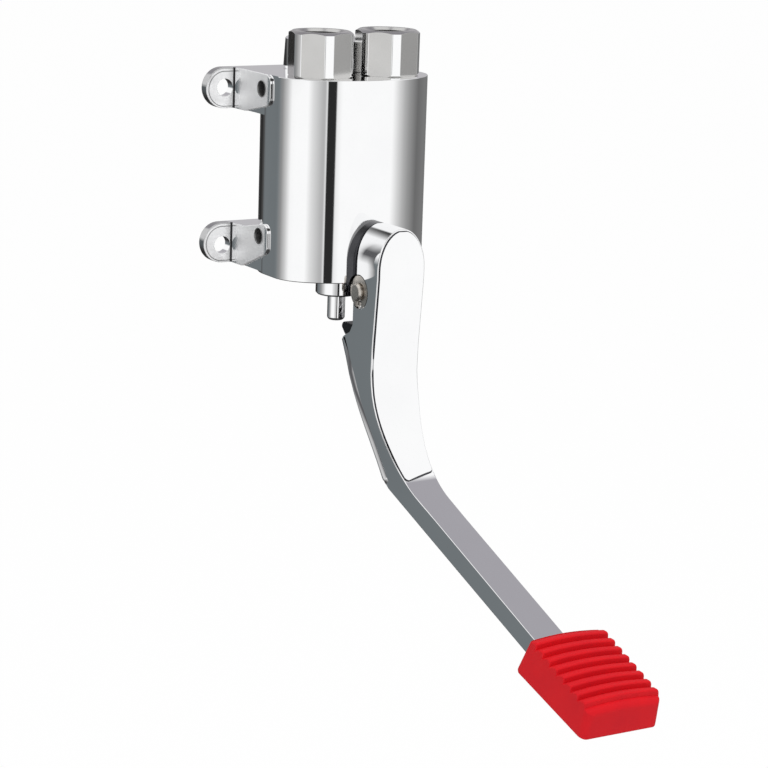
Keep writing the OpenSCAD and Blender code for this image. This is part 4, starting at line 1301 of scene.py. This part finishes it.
@dataclass
class Pad:
    """Ribbed rubber pad on the arm's end."""

    lever: Lever
    along: float = 104.0
    tilt: float = 4.5
    length: float = 51.46
    foot_half: float = 18.45
    top_half: float = 17.7
    back_h: float = 19.5
    front_h: float = 15.5
    back_lean: float = 3.6
    front_lean: float = 0.8
    corner: float = 3.5
    back_round: float = 1.5
    front_round: float = 3.0
    foot_round: float = 0.9
    rib_count: int = 8
    rib_first: float = 4.6
    rib_last: float = 4.0
    rib_h: float = 2.2
    rib_rise: float = 2.0
    rib_dip: float = 0.7
    rib_steep: float = 0.6
    rib_round: float = 0.9
    crown: float = 1.3
    edge: float = 0.8

    @property
    def pitch(self) -> float:
        """The distance from rib to rib."""
        return (self.length - self.rib_first - self.rib_last) / self.rib_count

    @property
    def front(self) -> float:
        """The distance from the pad's back foot to the top of its front end."""
        return self.length - self.front_lean

    def crest(self, along: float) -> float:
        """The height of the ribs' crests at a distance along the top."""
        return self.back_h + (self.front_h - self.back_h) * along / self.length

    def quarter(self, distance: float, radius: float) -> float:
        """How far a rounding of some radius draws in at a distance from the end."""
        short = max(0.0, radius - distance)
        return radius - math.sqrt(max(0.0, radius * radius - short * short))

    def section(self, along: float, top: float) -> list[Vector]:
        """One section across the pad.

        Args:
            along: Its distance along the top from the pad's back foot.
            top: The height of its top.

        Returns:
            The section's points in the pad's own frame.
        """
        from_end = min(along - self.back_lean, self.front - along)
        inset = self.quarter(from_end, self.corner)
        low = self.quarter(from_end, self.foot_round)
        foot = self.length * (along - self.back_lean) / (self.front - self.back_lean)
        wide = self.foot_half - inset
        narrow = self.foot_half - (self.foot_half - self.top_half) * top / self.back_h - inset
        corners = [(-wide, low, 0.6), (wide, low, 0.6), (wide, low + 2.0, 1.5), (narrow, top, self.edge),
                   *((narrow * share / 4, top, 0.0) for share in (3, 2, 1, 0, -1, -2, -3)),
                   (-narrow, top, self.edge), (-wide, low + 2.0, 1.5)]
        ring = []
        for x, z in rounded(corners, 4):
            lift = 1.0 if z > top - self.edge - 0.1 else 0.0
            sunk = self.crown * lift * (x / narrow) ** 2
            ring.append(Vector((x, -(foot + (along - foot) * z / top), z - sunk + 0.45 * self.crown * lift)))
        return ring

    def stations(self) -> list[Point]:
        """Distances along the top with the top's height at each."""
        ends = (0.0, 0.15, 0.45, 0.95)
        places = [(self.back_lean + d, self.crest(self.back_lean) - self.rib_h - self.quarter(d, self.back_round))
                  for d in ends]
        tooth = rounded([(0.0, -self.rib_h, 0.0), (self.rib_rise, -self.rib_dip, self.rib_rise),
                         (self.pitch - self.rib_steep, 0.0, self.rib_round), (self.pitch, -self.rib_h, 0.0)], 5)
        for rib in range(self.rib_count):
            start = self.rib_first + rib * self.pitch
            places += [(start + u, self.crest(start + self.pitch) + v) for u, v in tooth[:-1]]
        last = self.length - self.rib_last
        core = self.crest(self.front) - self.rib_h
        reach = self.front - last
        for share in (0.0, 0.15, 0.3, 0.45, 0.6, 0.75, 0.88, 0.96, 1.0):
            places.append((last + reach * share, core - self.quarter(reach * (1 - share), self.front_round)))
        return places

    def body(self) -> Blank:
        """The pad in its place on the arm."""
        pad = Blank().lofted([self.section(*place) for place in self.stations()])
        y, z = self.lever.on_arm(self.along, -self.lever.arm_end_t)
        place = Matrix.Translation((0, y, z)) @ Matrix.Rotation(math.radians(self.lever.slope - self.tilt), 4, "X")
        return pad.moved(place)

    def dress(self, dresser: Dresser) -> None:
        """Makes the pad."""
        dresser.piece("pad_moulding", self.body(), RUBBER_RED, "pedal", ["pedal_pad"])


@dataclass
class ClosingSprings:
    """Coil springs on the valve discs."""

    place: Point = (11.0, -55.5)
    mean_r: float = 5.5
    wire_r: float = 0.6
    foot: float = -9.36
    head: float = 14.89
    turns: int = 6
    steps: int = 24
    sides: int = 10
    stroke: float = 3.1

    def coil(self, side: Side) -> Blank:
        """One spring at rest."""
        low = Vector((side.value * self.place[0], self.place[1], self.foot + self.wire_r))
        rise = Vector((0, 0, self.head - self.foot - 2 * self.wire_r))
        count = self.turns * self.steps
        rings = []
        for i in range(count + 1):
            out = Vector((math.cos(math.tau * i / self.steps), math.sin(math.tau * i / self.steps), 0))
            centre = low + rise * (i / count) + out * self.mean_r
            turns = [math.tau * k / self.sides for k in range(self.sides)]
            rings.append([centre + self.wire_r * (out * math.cos(b) + Vector((0, 0, math.sin(b)))) for b in turns])
        return Blank().lofted(rings)

    def dress(self, dresser: Dresser) -> None:
        """Makes both springs, held at their heads."""
        for side in Side:
            made = dresser.piece(f"closing_coil_{side.word}", self.coil(side), STEEL, "valve",
                                 [f"closing_spring_{side.word}"])
            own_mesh(made)


@dataclass
class InnerPieces:
    """The CAD pieces that keep their own form: seals, strainers, check valves, clips and bushes."""

    paired: tuple[tuple[str, Finish], ...] = (
        ("inlet_gasket", FIBRE), ("inlet_filter", STEEL_MESH), ("check_valve", WHITE_PLASTIC),
        ("check_poppet", DARK_PLASTIC), ("cartridge_ring", RUBBER_BLACK), ("rod_ring", RUBBER_BLACK),
        ("valve_washer", RUBBER_BLACK), ("washer_nut", BRASS),
    )
    single: tuple[tuple[str, Finish], ...] = (
        ("outlet_gasket", FIBRE), ("pin_clip_left", STEEL), ("pin_clip_right", STEEL),
        ("pivot_bush_left", DARK_PLASTIC), ("pivot_bush_right", DARK_PLASTIC),
    )

    def dress(self, dresser: Dresser) -> None:
        """Gives each piece its finish."""
        for side in Side:
            for name, finish in self.paired:
                dresser.node(f"{name}_{side.word}", finish)
        for name, finish in self.single:
            dresser.node(name, finish)


TEAL = (0.9, 1.0, 1.05)


@dataclass(frozen=True)
class Card:
    """A stretch of the studio wall: its direction in degrees from +X and how bright it is."""

    azimuth: float
    level: float
    tint: tuple[float, float, float] = (1.0, 1.0, 1.0)

    @property
    def colour(self) -> tuple[float, float, float]:
        """The card's colour."""
        return (self.level * self.tint[0], self.level * self.tint[1], self.level * self.tint[2])


@dataclass
class Studio:
    """Camera, soft light, pale floor and the white and dark cards that the chrome mirrors."""

    eye: Vector = field(default_factory=lambda: Vector((-577.23, -1041.80, 171.02)))
    ahead: Vector = field(default_factory=lambda: Vector((0.501725, 0.835011, -0.225904)))
    azimuth: float = -31.0
    roll: float = 1.88
    lens: float = 120.94
    floor_z: float = -0.42
    cards: tuple[Card, ...] = (
        Card(0, 0.153), Card(22, 0.189), Card(50, 0.18), Card(72, 0.054), Card(96, 0.02), Card(108, 0.072),
        Card(116, 0.171, TEAL), Card(128, 0.189, TEAL), Card(146, 0.288), Card(164, 0.594), Card(178, 0.97), Card(190, 1),
        Card(214, 1), Card(223, 0.747), Card(238, 0.468), Card(241.5, 0.45), Card(242.5, 0.81), Card(243.8, 0.81),
        Card(244.6, 0.024), Card(254.5, 0.024), Card(256, 0.855), Card(262, 1), Card(317, 1), Card(326, 0.675),
        Card(334, 0.45), Card(342, 0.315), Card(352, 0.216), Card(359.9, 0.153),
    )

    def camera(self) -> None:
        """Sets the camera where the photograph was taken from."""
        right = Vector((math.cos(math.radians(self.azimuth)), math.sin(math.radians(self.azimuth)), 0))
        up = right.cross(self.ahead)
        c, s = math.cos(math.radians(self.roll)), math.sin(math.radians(self.roll))
        data = bpy.data.cameras.new("view")
        data.lens = self.lens
        data.sensor_width = 36.0
        data.clip_end = 50.0
        made = bpy.data.objects.new("view", data)
        turn = Matrix((right * c + up * s, up * c - right * s, -self.ahead)).transposed().to_4x4()
        made.matrix_world = Matrix.Translation(self.eye * MM) @ turn
        bpy.context.scene.collection.objects.link(made)
        bpy.context.scene.camera = made

    def floor(self) -> None:
        """Lays the pale floor, which is white to the camera but keeps a soft shadow."""
        sheet = bmesh.new()
        bmesh.ops.create_grid(sheet, x_segments=4, y_segments=4, size=7.0)
        bmesh.ops.translate(sheet, verts=sheet.verts, vec=Vector((0, 0, self.floor_z)))
        mesh = bpy.data.meshes.new("floor")
        sheet.to_mesh(mesh)
        sheet.free()
        made = bpy.data.objects.new("floor", mesh)
        bpy.context.scene.collection.objects.link(made)
        material = bpy.data.materials.new("pale_floor")
        material.use_nodes = True
        shader = Shader(material.node_tree)
        path = shader.node("ShaderNodeLightPath")
        seen = Value(shader, path.outputs["Is Camera Ray"]) + Value(shader, path.outputs["Is Transmission Ray"])
        pale = shader.node("ShaderNodeBsdfDiffuse", {}, {"Color": (0.9, 0.9, 0.9, 1.0)})
        white = shader.node("ShaderNodeEmission", {}, {"Color": (1.0, 1.0, 1.0, 1.0), "Strength": 1.0})
        mix = shader.node("ShaderNodeMixShader", {}, {0: 0.96 * seen, 1: pale.outputs[0], 2: white.outputs[0]})
        out = shader.node("ShaderNodeOutputMaterial")
        shader.tree.links.new(mix.outputs[0], out.inputs["Surface"])
        mesh.materials.append(material)
        made.visible_glossy = False

    def world(self) -> None:
        """Lights the room: white to the camera, soft and even on matt surfaces, cards for the chrome."""
        world = bpy.data.worlds.new("studio")
        world.use_nodes = True
        bpy.context.scene.world = world
        shader = Shader(world.node_tree)
        coords = shader.node("ShaderNodeTexCoord")
        parts = shader.node("ShaderNodeSeparateXYZ", {}, {0: coords.outputs["Generated"]})
        x, y, z = (Value(shader, parts.outputs[i]) for i in range(3))
        around = shader.node("ShaderNodeMath", {"operation": "ARCTAN2"}, {0: y, 1: x})
        turn = Value(shader, around.outputs[0]) / math.tau
        whole = shader.node("ShaderNodeMath", {"operation": "FRACT"}, {0: turn + 1.0})
        stops = [(card.azimuth / 360, card.colour) for card in self.cards]
        wall = shader.node("ShaderNodeValToRGB", {"stops": stops}, {0: whole.outputs[0]})
        behind = shader.banded(y, 0.0, 0.06) * shader.banded(x, -0.2, -0.1)
        ceiling = shader.mixed(behind, (1.0, 1.0, 1.0), shader.mixed(shader.banded(z, 0.3, 0.6), (0.5, 0.49, 0.51),
                                                                     (0.38, 0.37, 0.4)))
        beam = shader.banded(z, 0.42, 0.53) * shader.banded(0.0 - y, 0.2, 0.35) * shader.banded(0.0 - x, 0.05, 0.2)
        ceiling = shader.mixed(beam, ceiling, (0.06, 0.06, 0.06))
        left = shader.banded(0.0 - x - 0.75 * y, 0.0, 0.1) * shader.banded(y, -0.5, -0.2)
        near = shader.banded(z, -0.08, 0.08)
        high = near + left * (shader.banded(z, 0.12, 0.34) - near)
        upper = shader.mixed(high, wall.outputs[0], ceiling)
        cornice = shader.banded(z, -0.12, 0.04) * (1.0 - high) * left
        lined = shader.mixed(cornice, upper, (0.11, 0.11, 0.115))
        room = shader.mixed(shader.banded(0.0 - z, 0.45, 0.6), lined, (0.06, 0.06, 0.06))
        cards = shader.node("ShaderNodeBackground", {}, {0: room, 1: 1.0})
        soft = shader.mixed(shader.banded(z, -0.5, 0.8), (0.5, 0.5, 0.52), (1.0, 1.0, 1.0))
        matt = shader.node("ShaderNodeBackground", {}, {0: soft, 1: 0.85})
        white = shader.node("ShaderNodeBackground", {}, {0: (1.0, 1.0, 1.0, 1.0), 1: 1.0})
        path = shader.node("ShaderNodeLightPath")
        lit = shader.node("ShaderNodeMixShader", {},
                          {0: path.outputs["Is Glossy Ray"], 1: matt.outputs[0], 2: cards.outputs[0]})
        shown = Value(shader, path.outputs["Is Camera Ray"]) + Value(shader, path.outputs["Is Transmission Ray"])
        seen = shader.node("ShaderNodeMixShader", {}, {0: shown, 1: lit.outputs[0], 2: white.outputs[0]})
        out = shader.node("ShaderNodeOutputWorld")
        shader.tree.links.new(seen.outputs[0], out.inputs["Surface"])

    def lamp(self) -> None:
        """Hangs a large soft lamp over the front of the object."""
        data = bpy.data.lights.new("soft_lamp", "AREA")
        data.shape = "DISK"
        data.size = 1.2
        data.energy = 14.0
        made = bpy.data.objects.new("soft_lamp", data)
        place = Vector((-0.35, -0.9, 1.1))
        made.matrix_world = (Matrix.Translation(place)
                             @ (Vector((0.0, -0.1, -0.1)) - place).to_track_quat("-Z", "Y").to_matrix().to_4x4())
        bpy.context.scene.collection.objects.link(made)
        made.visible_glossy = False

    def build(self) -> None:
        """Sets the studio up."""
        bpy.context.scene.view_settings.view_transform = "Standard"
        self.camera()
        self.floor()
        self.world()
        self.lamp()


def main() -> None:
    """Builds the studio and every piece."""
    logging.basicConfig(level=logging.INFO, format="%(name)s: %(message)s")
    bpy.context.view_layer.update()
    Studio().build()
    dresser = Dresser()
    lever = Lever()
    for part in (Casting(), Unions(), Cartridges(), ClosingSprings(), Pivot(), lever, Pad(lever), InnerPieces()):
        part.dress(dresser)
    log.info("left without a finish: %s", sorted(set(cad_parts) - dresser.done) or "none")


if __name__ == "__main__":
    main()
